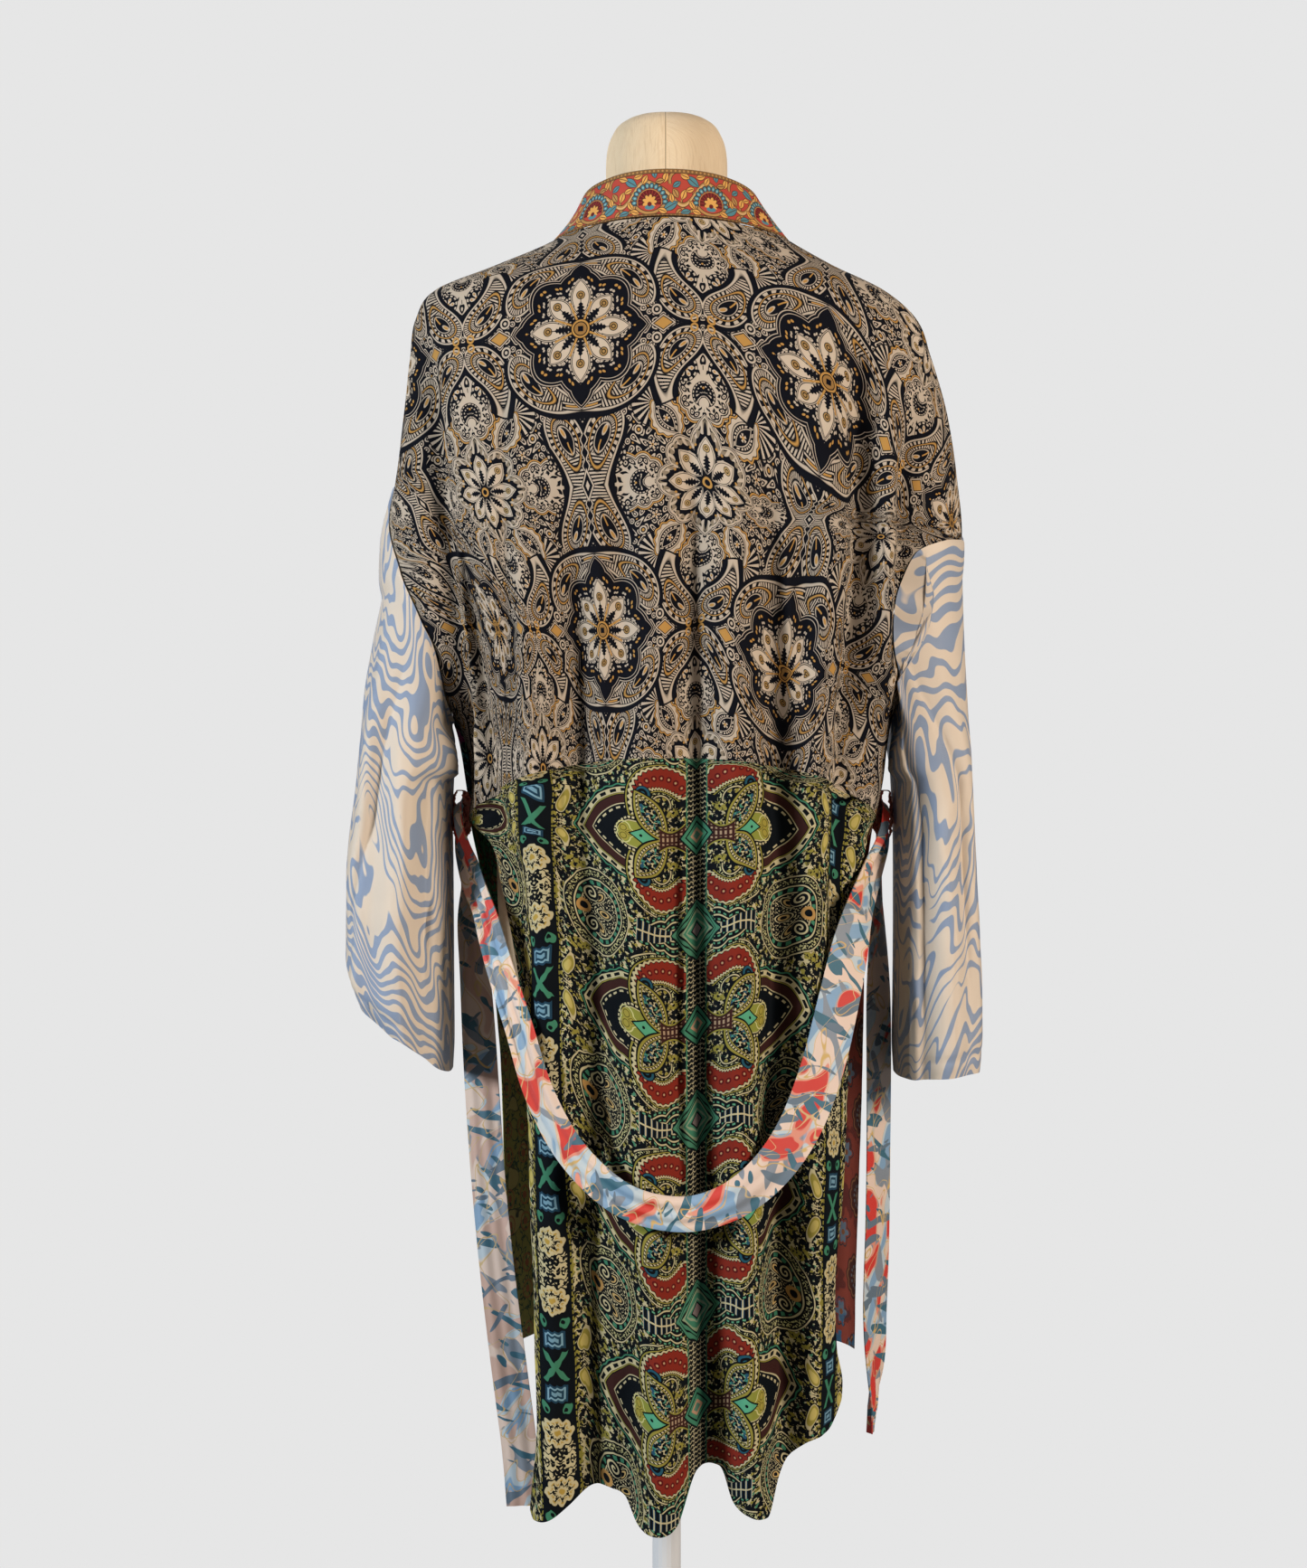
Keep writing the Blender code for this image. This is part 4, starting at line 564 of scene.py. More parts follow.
def form_grid(count=128, rows=170):
    zs = spread((TORSO_BOTTOM, 40), (1.000, 50), (1.330, 40), (1.440, 24), (1.5155, 10), (1.5335, 0))
    half, front, back = (table(FORM, k)(zs)[:, None] for k in (1, 2, 3))
    a = np.linspace(0, 2 * math.pi, count, endpoint=False)[None, :]
    s, c = np.sin(a), np.cos(a)
    x = half * np.sign(s) * np.abs(s) ** 0.92
    y = np.where(c >= 0, back, front) * np.sign(c) * np.abs(c) ** 0.92
    # sewn seams, sunk by half a millimetre: down the middle of the back and the front, and down both sides
    sink = sum(np.exp(-((a - m + math.pi) % (2 * math.pi) - math.pi) ** 2 / 0.0016) for m in (0, math.pi / 2, math.pi, 3 * math.pi / 2))
    shrink = 1 - 0.0006 * sink / np.hypot(x, y)
    p = np.stack([x * shrink, y * shrink, zs[:, None] + 0 * a], -1)
    # closed at both ends
    low, top = p[:1], p[-1:]
    shut = lambda row, k: row * k + row.mean(axis=1, keepdims=True) * (1 - k)
    return np.concatenate([shut(low, 0.02), shut(low, 0.5), shut(low, 0.95), p, shut(top, 0.7), shut(top, 0.35), shut(top, 0.02)])


# ------------------------------------------------------------------ meshes
def normals(grid, closed):
    du = np.roll(grid, -1, axis=1) - np.roll(grid, 1, axis=1) if closed else np.gradient(grid, axis=1)
    n = np.cross(du, np.gradient(grid, axis=0))
    return n / np.maximum(np.linalg.norm(n, axis=2, keepdims=True), 1e-9)


def lengths(grid, flat=False):
    """Distances along the rows and down the columns of a grid, from its first row and column."""
    step_u = np.diff(grid, axis=1)
    if flat:
        step_u = step_u[..., :2]
    u = np.concatenate([np.zeros((grid.shape[0], 1)), np.cumsum(np.linalg.norm(step_u, axis=2), axis=1)], axis=1)
    v = np.concatenate([np.zeros((1, grid.shape[1])), np.cumsum(np.linalg.norm(np.diff(grid, axis=0), axis=2), axis=0)], axis=0)
    return u, v


def loop_grid(side):
    """A belt loop: a crinkled strap round an upright ring; the leg beside the body is turned so that its face shows."""
    s = np.linspace(0, 2 * math.pi, 97)[:-1]
    c, d = np.cos(s), np.sin(s)
    x, z = 0.0048 * np.sign(c) * np.abs(c) ** 0.34, 0.0211 * np.sign(d) * np.abs(d) ** 0.80
    leg = np.clip(1 - (z / 0.0211) ** 2, 0, 1)
    inner = smooth((-x * side + 0.002) / 0.004)
    turned = np.radians(62.0 * inner + 22.0 * (1 - inner)) * leg ** 0.5
    x = x + side * leg * (0.0008 * (1 - inner) - 0.0030 * inner) + 0.0005 * np.sin(z * 520 + 1.0) + 0.0003 * np.sin(z * 1100 + 2.0)
    w = np.linspace(-0.0052, 0.0052, 9)[:, None]
    crinkle = 0.0005 * np.sin(s * 31 + w * 700) * np.cos(w * 400 + s * 5)
    px = (0.183 if side > 0 else -0.193) + x + w * np.sin(turned) * -side + crinkle
    return np.stack([px, w * np.cos(turned) + 0 * px + crinkle, 0.91825 + z + 0 * w], -1), s * 0.0155 + 0 * w, w + 0 * s


def shell(name, grid, uv, thick, material, replaced, closed=False, outward=None, thick_at=None):
    """A cloth shell on a grid of points: an outer face, an inner face and a rim, with the print's coordinates in metres."""
    rows, cols = grid.shape[:2]
    n = normals(grid, closed)
    if outward is not None and float((n * outward(grid)).sum()) < 0:
        n = -n
    half = (thick / 2 if thick_at is None else thick_at[..., None] / 2)
    points = np.concatenate([(grid + n * half).reshape(-1, 3), (grid - n * half).reshape(-1, 3)])
    shift, last = rows * cols, cols if closed else cols - 1
    r, c = np.meshgrid(np.arange(rows - 1), np.arange(last), indexing="ij")
    d = (c + 1) % cols
    face = np.stack([r * cols + c, r * cols + d, (r + 1) * cols + d, (r + 1) * cols + c], -1).reshape(-1, 4)
    u, v = uv
    uu = np.concatenate([u, (u[:, :1] + (2 * u[:, -1:] - u[:, -2:-1]) - u[:, :1])], axis=1) if closed else u
    vv = np.concatenate([v, v[:, :1]], axis=1) if closed else v
    corner = lambda rr, cc: np.stack([uu[rr, cc], vv[rr, cc]], -1)
    tex = np.stack([corner(r, c), corner(r, c + 1), corner(r + 1, c + 1), corner(r + 1, c)], -2).reshape(-1, 4, 2)
    faces, texs = [face, face[:, ::-1] + shift], [tex, tex[:, ::-1]]
    k = np.arange(last)
    e = (k + 1) % cols
    for rr, flip in ((0, True), (rows - 1, False)):
        a, b = rr * cols + k, rr * cols + e
        q = np.stack([a, b, shift + b, shift + a], -1)
        t = np.stack([corner(rr, k), corner(rr, k + 1), corner(rr, k + 1), corner(rr, k)], -2)
        faces.append(q[:, ::-1] if not flip else q)
        texs.append(t[:, ::-1] if not flip else t)
    if not closed:
        k = np.arange(rows - 1)
        for cc, flip in ((0, False), (cols - 1, True)):
            a, b = k * cols + cc, (k + 1) * cols + cc
            q = np.stack([a, b, shift + b, shift + a], -1)
            t = np.stack([corner(k, cc), corner(k + 1, cc), corner(k + 1, cc), corner(k, cc)], -2)
            faces.append(q[:, ::-1] if not flip else q)
            texs.append(t[:, ::-1] if not flip else t)
    faces, texs = np.concatenate(faces), np.concatenate(texs)
    # which way the first faces look decides the turn of all of them
    a, b, cc, dd = (points[faces[: (rows - 1) * last, i]] for i in range(4))
    turn = float((np.cross(cc - a, dd - b) * n[:-1, :last].reshape(-1, 3)).sum())
    if turn < 0:
        faces, texs = faces[:, ::-1], texs[:, ::-1]
    return mesh_object(name, points, faces, texs, material, replaced)


def mesh_object(name, points, faces, texs, material, replaced):
    mesh = bpy.data.meshes.new(name)
    faces = np.ascontiguousarray(faces)
    mesh.vertices.add(len(points))
    mesh.vertices.foreach_set("co", points.astype(np.float32).ravel())
    mesh.loops.add(faces.size)
    mesh.loops.foreach_set("vertex_index", faces.astype(np.int32).ravel())
    mesh.polygons.add(len(faces))
    mesh.polygons.foreach_set("loop_start", np.arange(0, faces.size, faces.shape[1], dtype=np.int32))
    mesh.update(calc_edges=True)
    mesh.polygons.foreach_set("use_smooth", np.ones(len(faces), bool))
    layer = mesh.uv_layers.new(name="Cloth")
    layer.data.foreach_set("uv", np.ascontiguousarray(texs).astype(np.float32).ravel())
    mesh.set_sharp_from_angle(angle=math.radians(60))
    mesh.materials.append(material)
    obj = bpy.data.objects.new(name, mesh)
    bpy.context.scene.collection.objects.link(obj)
    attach(obj, "root")
    if replaced:
        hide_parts(*replaced)
    return obj


def from_axis(grid):
    out = grid.copy()
    out[..., 2] = 0
    return out
# ------------------------------------------------------------------ sums for the prints
class Val:
    """A number that varies over the cloth. Each sum on it becomes one Math node of the material being made."""
    __slots__ = ("it",)

    def __init__(self, it):
        self.it = it

    def __add__(a, b): return calc("ADD", a, b)
    def __radd__(a, b): return calc("ADD", b, a)
    def __sub__(a, b): return calc("SUBTRACT", a, b)
    def __rsub__(a, b): return calc("SUBTRACT", b, a)
    def __mul__(a, b): return calc("MULTIPLY", a, b)
    def __rmul__(a, b): return calc("MULTIPLY", b, a)
    def __truediv__(a, b): return calc("DIVIDE", a, b)
    def __rtruediv__(a, b): return calc("DIVIDE", b, a)
    def __neg__(a): return calc("MULTIPLY", a, -1.0)


def least(a, *more):
    for b in more:
        a = calc("MINIMUM", a, b)
    return a


def most(a, *more):
    for b in more:
        a = calc("MAXIMUM", a, b)
    return a


def mad(a, b, c): return calc("MULTIPLY_ADD", a, b, c)
def size(a): return calc("ABSOLUTE", a)
def root(a): return calc("SQRT", a)
def sine(a): return calc("SINE", a)
def cosine(a): return calc("COSINE", a)
def angle(y, x): return calc("ARCTAN2", y, x)
def fold(a, half): return calc("PINGPONG", a, half)
def wrap(a, whole): return calc("FLOORED_MODULO", a, whole)
def below(a, b): return calc("LESS_THAN", a, b)
def power(a, b): return calc("POWER", a, b)


def ink(d, soft=0.35):
    """How much of a shape's colour shows at signed distance d (mm, negative inside)."""
    return calc("MULTIPLY_ADD", d, -1.0 / soft, 0.5, clamp=True)


def line(d, half, soft=0.3):
    """A line of that half width along d = 0."""
    return ink(size(d) - half, soft)


def hyp(x, y): return root(mad(x, x, y * y))


class Paint:
    """Layers of flat colour, each laid over the ones before."""

    def __init__(self, ground):
        self.it = blank(ground)

    def lay(self, mask, colour):
        self.it = blend(self.it, mask, colour)
        return self


def bend(x, y, cx, cy, radius, start, turn=1):
    """Coordinates along an arc: out from its line, and along it from the start angle (degrees), anticlockwise for turn 1."""
    px, py = x - cx, y - cy
    r = hyp(px, py)
    if turn < 0:
        px = -px
        start = 180 - start
    a, b = math.cos(math.radians(start + 180)), math.sin(math.radians(start + 180))
    # the angle is measured from the far side, so that its jump lies opposite the motif's start
    t = angle(mad(px, -b, py * a), mad(px, a, py * b))
    return r - radius, mad(t, radius, math.pi * radius)


def boteh(x, y, long, wide):
    """A teardrop's own measure: -1 in its heart, 0 on its outline; and the angle round its heart. y runs from head to tip."""
    far = y / long
    s = calc("MINIMUM", far, 1.0)
    q = 1.0 - s
    f = mad(s * q, q * -6.75, (x * x) * (1.0 / wide ** 2)) + (far - s) * 30.0
    return f, angle(x * (1.0 / wide), mad(s, 1.9, -0.63))


def paisley(p, x, y, long, wide, tones, beads=30, step=2.9):
    """Paints one bent teardrop: an outline, two rows of beads with a gold line between them, and a dark heart with a flame in it."""
    cream, gold, dark = tones
    far = y / long
    s = calc("MINIMUM", far, 1.0)
    q = 1.0 - s
    r = root(mad(s * q, q * -6.75, (x * x) * (1.0 / wide ** 2)) + (far - s) * 30.0 + 1.0)
    turn = angle(x * (1.0 / wide), mad(s, 1.9, -0.63))
    tail = below(0.52, s)
    bead = mad(cosine(y * (2 * math.pi / step)) - cosine(turn * beads), tail, cosine(turn * beads))
    p.lay(ink(r - 1.34, 0.04), dark)
    p.lay(ink(r - 1.075, 0.03), cream)
    p.lay(ink(r - 0.985, 0.03), dark)
    p.lay(ink(size(r - 0.855) - 0.092, 0.03) * below(-0.10, bead), cream)
    p.lay(ink(r - 0.715, 0.03), gold)
    p.lay(ink(r - 0.665, 0.03), dark)
    p.lay(ink(size(r - 0.545) - 0.070, 0.03) * below(-0.05, bead), cream)
    p.lay(ink(r - 0.415, 0.03), cream)
    p.lay(ink(r - 0.375, 0.03), dark)
    drop = hyp(x * (1.0 / wide), mad(y, 1.0 / long, -0.26) * 1.9)
    p.lay(ink(drop - 0.125, 0.02), cream)
    p.lay(ink(drop - 0.085, 0.02), gold)
    p.lay(ink(x * x - 0.35) * ink(size(y - long * 0.44) - long * 0.07), gold)
    return r


def rosette(p, x, y, cx, cy, r, tones, petals=8):
    """A small round flower on its dark ground, ringed with dots."""
    cream, gold, dark = tones
    px, py = x - cx, y - cy
    d, t = hyp(px, py), angle(py, px)
    p.lay(ink(d - r), dark)
    p.lay(ink(size(d - r * 0.86) - r * 0.075) * below(-0.1, cosine(t * (petals * 2.0))), cream)
    c = cosine(t * petals)
    p.lay(ink(mad(c, -r * 0.13, d - r * 0.56)) * below(-0.35, c), cream)
    p.lay(ink(hyp(mad(d, 1.0, -r * 0.50), fold(t, math.pi / petals) * (r * 0.5)) - r * 0.085), gold)
    p.lay(ink(d - r * 0.20), gold)
    p.lay(ink(d - r * 0.11), dark)


CREAM, GOLD, NIGHT = (0.50, 0.41, 0.315), (0.46, 0.245, 0.065), (0.0050, 0.0056, 0.0090)
MILK, DIM = (0.56, 0.455, 0.345), (0.25, 0.195, 0.135)


def mandala(x, y, cx, cy):
    px, py = x - cx, y - cy
    return px, py, hyp(px, py), angle(py, px)


def leaf(along, across, start, end, half):
    """A pointed leaf from start to end; negative inside."""
    m, h = (start + end) / 2, (end - start) / 2
    t = (along - m) * (1.0 / h)
    return size(across) - half * (1.0 - t * t)


def yoke_print(u, v):
    """Eight-petalled medallions, dark and light in turn, among bent paisleys, wheels, eyes and scalloped frames."""
    A, B = 112.0, 131.0
    x, y = fold(u, A), fold(v, B)
    tones = (CREAM, GOLD, NIGHT)
    p = Paint(NIGHT)

    # filler: little curls and dots
    a, b = x + sine(y * 0.29) * 2.6, y + sine(x * 0.31) * 2.6
    cell = hyp(fold(a, 7.4) - 3.7, fold(b, 8.4) - 4.2)
    p.lay(line(cell - 2.55, 0.52), CREAM)
    p.lay(ink(cell - 0.95), CREAM)
    p.lay(ink(hyp(fold(a, 7.4), fold(b, 8.4)) - 0.85), GOLD)
    # fans of fine rays between the wheels
    px, py = x - 66.0, y - 66.0
    d, t = hyp(px, py), angle(py, px)
    p.lay(ink(d - 21.0), NIGHT)
    p.lay(ink(d - 20.0) * below(0.25, sine(t * 19.0)), CREAM)

    # scalloped frames beside and above the light medallion
    for cx, cy, r, turned in ((50.0, B, 23.0, 0), (A, 60.0, 23.5, 1)):
        px, py, d, t = mandala(x, y, cx, cy)
        qx, qy = (px, py) if turned == 0 else (py, px)
        lobes = size(cosine(t * 4.5))
        edge = mad(lobes, -3.0, d - r + 2.4) - most(-4.0 - qx, 0.0) * 0.42
        p.lay(ink(edge - 2.6), NIGHT)
        p.lay(ink(edge - 1.9), GOLD)
        p.lay(ink(edge - 0.7), NIGHT)
        p.lay(ink(edge - 0.1), CREAM)
        ring = fold(t, math.pi / 9) * (r - 7.0)
        p.lay(line(hyp(edge + 5.2, ring - 2.1) - 2.0, 0.62), NIGHT)
        p.lay(ink(hyp(edge + 5.2, ring - 2.1) - 0.6), NIGHT)
        p.lay(line(edge + 1.7, 0.50), NIGHT)
        p.lay(ink(size(edge + 9.2) - 1.1) * below(-0.3, cosine(t * 17.0)), NIGHT)
        heart = most(hyp(qx - 0.5, qy) - 8.8, 6.4 - hyp(qx - 8.0, qy))
        p.lay(ink(heart - 1.9), NIGHT)
        p.lay(ink(heart - 1.2) * below(-0.2, cosine(t * 19.0)), CREAM)
        p.lay(ink(heart - 0.2), NIGHT)
        p.lay(ink(size(heart + 2.4) - 0.5) * below(0.2, cosine(t * 13.0)), CREAM)
        p.lay(ink(hyp(qx + 4.6, qy) - 1.0), GOLD)

    # eyes, each in a pointed frame
    px, py, d, t = mandala(x, y, 77.0, 80.0)
    ex, ey = mad(px, 0.64, py * 0.77), mad(px, -0.77, py * 0.64)
    eye = mad(ex * ex, 0.036, size(ey)) - 10.5
    wavy = sine(t * 11.0)
    p.lay(ink(eye - 5.6 + wavy * 1.0), NIGHT)
    p.lay(ink(eye - 4.7 + wavy * 1.0), GOLD)
    p.lay(ink(eye - 3.2 + wavy * 0.9), NIGHT)
    p.lay(ink(eye - 2.5 + wavy * 0.8), CREAM)
    p.lay(line(eye + 0.9, 0.3), NIGHT)
    p.lay(ink(eye + 2.2), NIGHT)
    p.lay(ink(size(eye + 4.2) - 0.8) * below(-0.2, cosine(t * 17.0)), CREAM)
    p.lay(line(eye + 6.0, 0.35), CREAM)
    p.lay(ink(d - 3.1) * below(-0.2, cosine(t * 5.0)), CREAM)
    p.lay(ink(d - 1.3), GOLD)

    # wheels
    rosette(p, x, y, 26.0, 105.0, 12.5, tones, 7)
    rosette(p, x, y, 96.0, 39.0, 11.5, tones, 6)
    rosette(p, x, y, 63.0, 101.0, 6.0, tones, 5)

    # paisleys: beside the upright stem, round the far corner, and round the dark medallion
    bx, by = bend(x, y, 78.0, 122.0, 68.0, 230.0, -1)
    paisley(p, bx, by, 82.0, 15.5, tones, 32)
    bx, by = bend(x, y, 117.0, 52.0, 40.5, 262.0, -1)
    paisley(p, bx, by, 72.0, 13.5, tones, 28)
    bx, by = bend(x, y, 0.0, 0.0, 64.0, 16.0, 1)
    paisley(p, bx, by, 86.0, 13.5, tones, 28)

    # stem between two paisleys, and the lens at its middle
    stem = mad(cosine(y * (2 * math.pi / 10.9)), 1.1, x - 2.6)
    here = ink(88.0 - y)
    p.lay(ink(stem - 0.7) * here, NIGHT)
    p.lay(ink(stem) * here, CREAM)
    p.lay(ink(stem + 1.0) * here, NIGHT)
    lens = x * 1.0 + (B - y) * 0.42 - 5.4
    p.lay(ink(lens - 1.4), NIGHT)
    p.lay(ink(lens - 0.8), CREAM)
    p.lay(ink(lens + 0.6), NIGHT)
    p.lay(ink(lens + 3.4), CREAM)
    brow = size(hyp(x, y - 6.0) - 60.0)
    p.lay(ink(brow - 3.6) * ink(x - 19.0), NIGHT)
    p.lay(ink(size(brow - 1.9) - 0.55) * ink(x - 18.0), CREAM)
    p.lay(ink(brow - 0.7) * ink(x - 15.0), GOLD)

    # arrow beside the dark medallion, with its scrolls
    side = size(mad(y, 0.9, 0.0)) + size(x - 76.0) * 0.62 - 6.4
    p.lay(ink(side - 1.5), NIGHT)
    p.lay(ink(side - 0.7), CREAM)
    p.lay(ink(side + 0.4), NIGHT)
    p.lay(ink(side + 1.3), GOLD)
    curl = hyp(x - 70.0, y - 12.5)
    p.lay(ink(curl - 5.4), NIGHT)
    p.lay(line(curl - 3.9, 0.8), CREAM)
    p.lay(ink(curl - 1.5), CREAM)
    curl = hyp(x - 104.5, y - 4.0)
    p.lay(line(curl - 3.0, 0.9) * ink(x - 108.0), GOLD)
    curl = hyp(x - 51.0, y - 88.0)
    p.lay(ink(curl - 4.6), NIGHT)
    p.lay(line(curl - 3.1, 0.7), CREAM)
    p.lay(ink(curl - 1.3), GOLD)

    # the dark medallion
    kept = x, y
    x, y = x * (1 / 1.16), y * (1 / 1.16)
    d, t = hyp(x, y), angle(y, x)
    star = mad(size(cosine(t * 4.0)), -7.5, d) - 41.5
    star = least(star, leaf(x, y, 28.0, 53.5, 9.0), leaf(y, x, 28.0, 57.5, 9.5))
    p.lay(ink(star - 2.5), NIGHT)
    p.lay(ink(star - 1.7), CREAM)
    p.lay(ink(star - 1.0), NIGHT)
    p.lay(line(star + 1.2, 0.25), CREAM)
    # sprigs: short stems of dots between the petals
    near16 = fold(t, math.pi / 8)
    garland = hyp(d - 35.0 - cosine(t * 8.0) * 3.0, fold(t, math.pi / 30) * 36.0 - 1.0)
    p.lay(ink(garland - 0.95) * ink(star + 2.6), CREAM)
    garland = hyp(d - 39.5 - cosine(t * 8.0) * 3.4, fold(t + 0.05, math.pi / 22) * 40.0 - 1.5)
    p.lay(ink(garland - 1.15) * ink(star + 2.2), GOLD)
    garland = hyp(d - 30.5 - cosine(t * 8.0) * 2.6, fold(t, math.pi / 24) * 30.0 - 1.0)
    p.lay(line(garland - 0.9, 0.3) * ink(24.0 - d), CREAM)
    off = fold(t, math.pi / 4)
    near = least(off, math.pi / 4 - off)
    along, across = d * cosine(near), d * sine(near)
    axial = ink(size(x - y) * -1.0 + 12.0)
    tip = mad(axial, 4.5, 34.0)
    m, h = tip * 0.5 + 5.0, tip * 0.5 - 5.0
    q = (along - m) / h
    petal = across - (1.0 - q * q) * 6.6
    p.lay(ink(petal - 2.8) * below(-0.3, cosine(along * 2.1)), CREAM)
    p.lay(ink(petal - 1.5), NIGHT)
    p.lay(ink(petal - 0.95), CREAM)
    p.lay(ink(petal - 0.35), NIGHT)
    p.lay(ink(petal + 0.25), MILK)
    p.lay(ink(across - (1.0 - (along - 14.0) * (along - 14.0) * (1 / 50.0)) * (2.6 + sine(along * 2.4) * 0.8)), NIGHT)
    wheel = hyp(along - 26.0, across)
    p.lay(ink(wheel - 3.5), NIGHT)
    p.lay(ink(wheel - 2.9), (0.34, 0.20, 0.07))
    p.lay(line(wheel - 1.5, 0.35), NIGHT)
    p.lay(ink(across - 0.35) * ink(along - 24.0), NIGHT)
    # gold stems that end in a dot, between the petals
    p.lay(ink(size(fold(t + math.pi / 8, math.pi / 8) * d) - 0.75) * ink(d - 22.0), GOLD)
    p.lay(ink(d - 7.6), NIGHT)
    p.lay(ink(d - 7.0), GOLD)
    p.lay(ink(d - 5.2), (0.30, 0.16, 0.05))
    p.lay(line(d - 5.2, 0.4), NIGHT)
    p.lay(ink(most(x, y) - 2.1), NIGHT)

    # the light medallion
    x, y = kept
    gx, gy, d, t = mandala(x, y, A, B)
    zig = mad(size(sine(t * 8.0)), -2.4, mad(size(cosine(t * 4.0)), -7.5, d)) - 36.5
    zig = least(zig, leaf(gy, gx, -53.0, -26.0, 8.0), leaf(gx, gy, -48.0, -26.0, 8.0))
    p.lay(ink(zig - 2.0), NIGHT)
    p.lay(ink(zig - 1.3), CREAM)
    p.lay(ink(zig - 0.4), NIGHT)
    p.lay(ink(zig + 0.3), CREAM)
    p.lay(ink(zig + 1.9) * below(-0.35, cosine(t * 40.0)), DIM)
    leafy = size(mad(size(sine(t * 4.0)), 3.4, zig + 8.4)) - 4.4 + size(sine(t * 26.0)) * 2.0
    p.lay(ink(leafy), NIGHT)
    p.lay(ink(size(zig + 3.0) - 0.5) * below(0.0, cosine(t * 52.0)), NIGHT)
    p.lay(line(mad(size(cosine(t * 4.0)), -4.4, d) - 28.5, 0.4), NIGHT)
    p.lay(ink(hyp(d - 31.5, fold(t, math.pi / 16) * 31.0 - 2.6) - 1.1), GOLD)
    off = fold(t, math.pi / 4)
    near = least(off, math.pi / 4 - off)
    along, across = d * cosine(near), d * sine(near)
    q = (along - 21.0) * (1 / 14.0)
    petal = across - (1.0 - q * q) * 6.9
    p.lay(ink(petal - 1.5), CREAM)
    p.lay(ink(mad(size(cosine(t * 4.0)), -3.0, d) - 23.0) * ink(0.6 - petal), NIGHT)
    p.lay(ink(petal - 0.75), CREAM)
    p.lay(ink(petal - 0.15), NIGHT)
    p.lay(ink(petal + 0.35), MILK)
    p.lay(ink(across - (1.0 - (along - 15.0) * (along - 15.0) * (1 / 60.0)) * (2.7 + sine(along * 2.3) * 0.9)), NIGHT)
    wheel = hyp(along - 27.0, across)
    p.lay(ink(wheel - 3.3), NIGHT)
    p.lay(ink(wheel - 2.8), (0.42, 0.28, 0.12))
    p.lay(line(wheel - 1.3, 0.35), NIGHT)
    p.lay(ink(across - 0.35) * ink(along - 24.0), NIGHT)
    p.lay(ink(d - 5.6), NIGHT)
    p.lay(ink(d - 4.6), GOLD)
    p.lay(ink(d - 2.6), NIGHT)
    return p


JADE, OLIVE, BRICK, TEAL, BROWN = (0.050, 0.20, 0.115), (0.27, 0.232, 0.043), (0.215, 0.024, 0.014), (0.012, 0.060, 0.090), (0.042, 0.015, 0.013)
DEEP, PALE = (0.0042, 0.0060, 0.0082), (0.52, 0.45, 0.26)


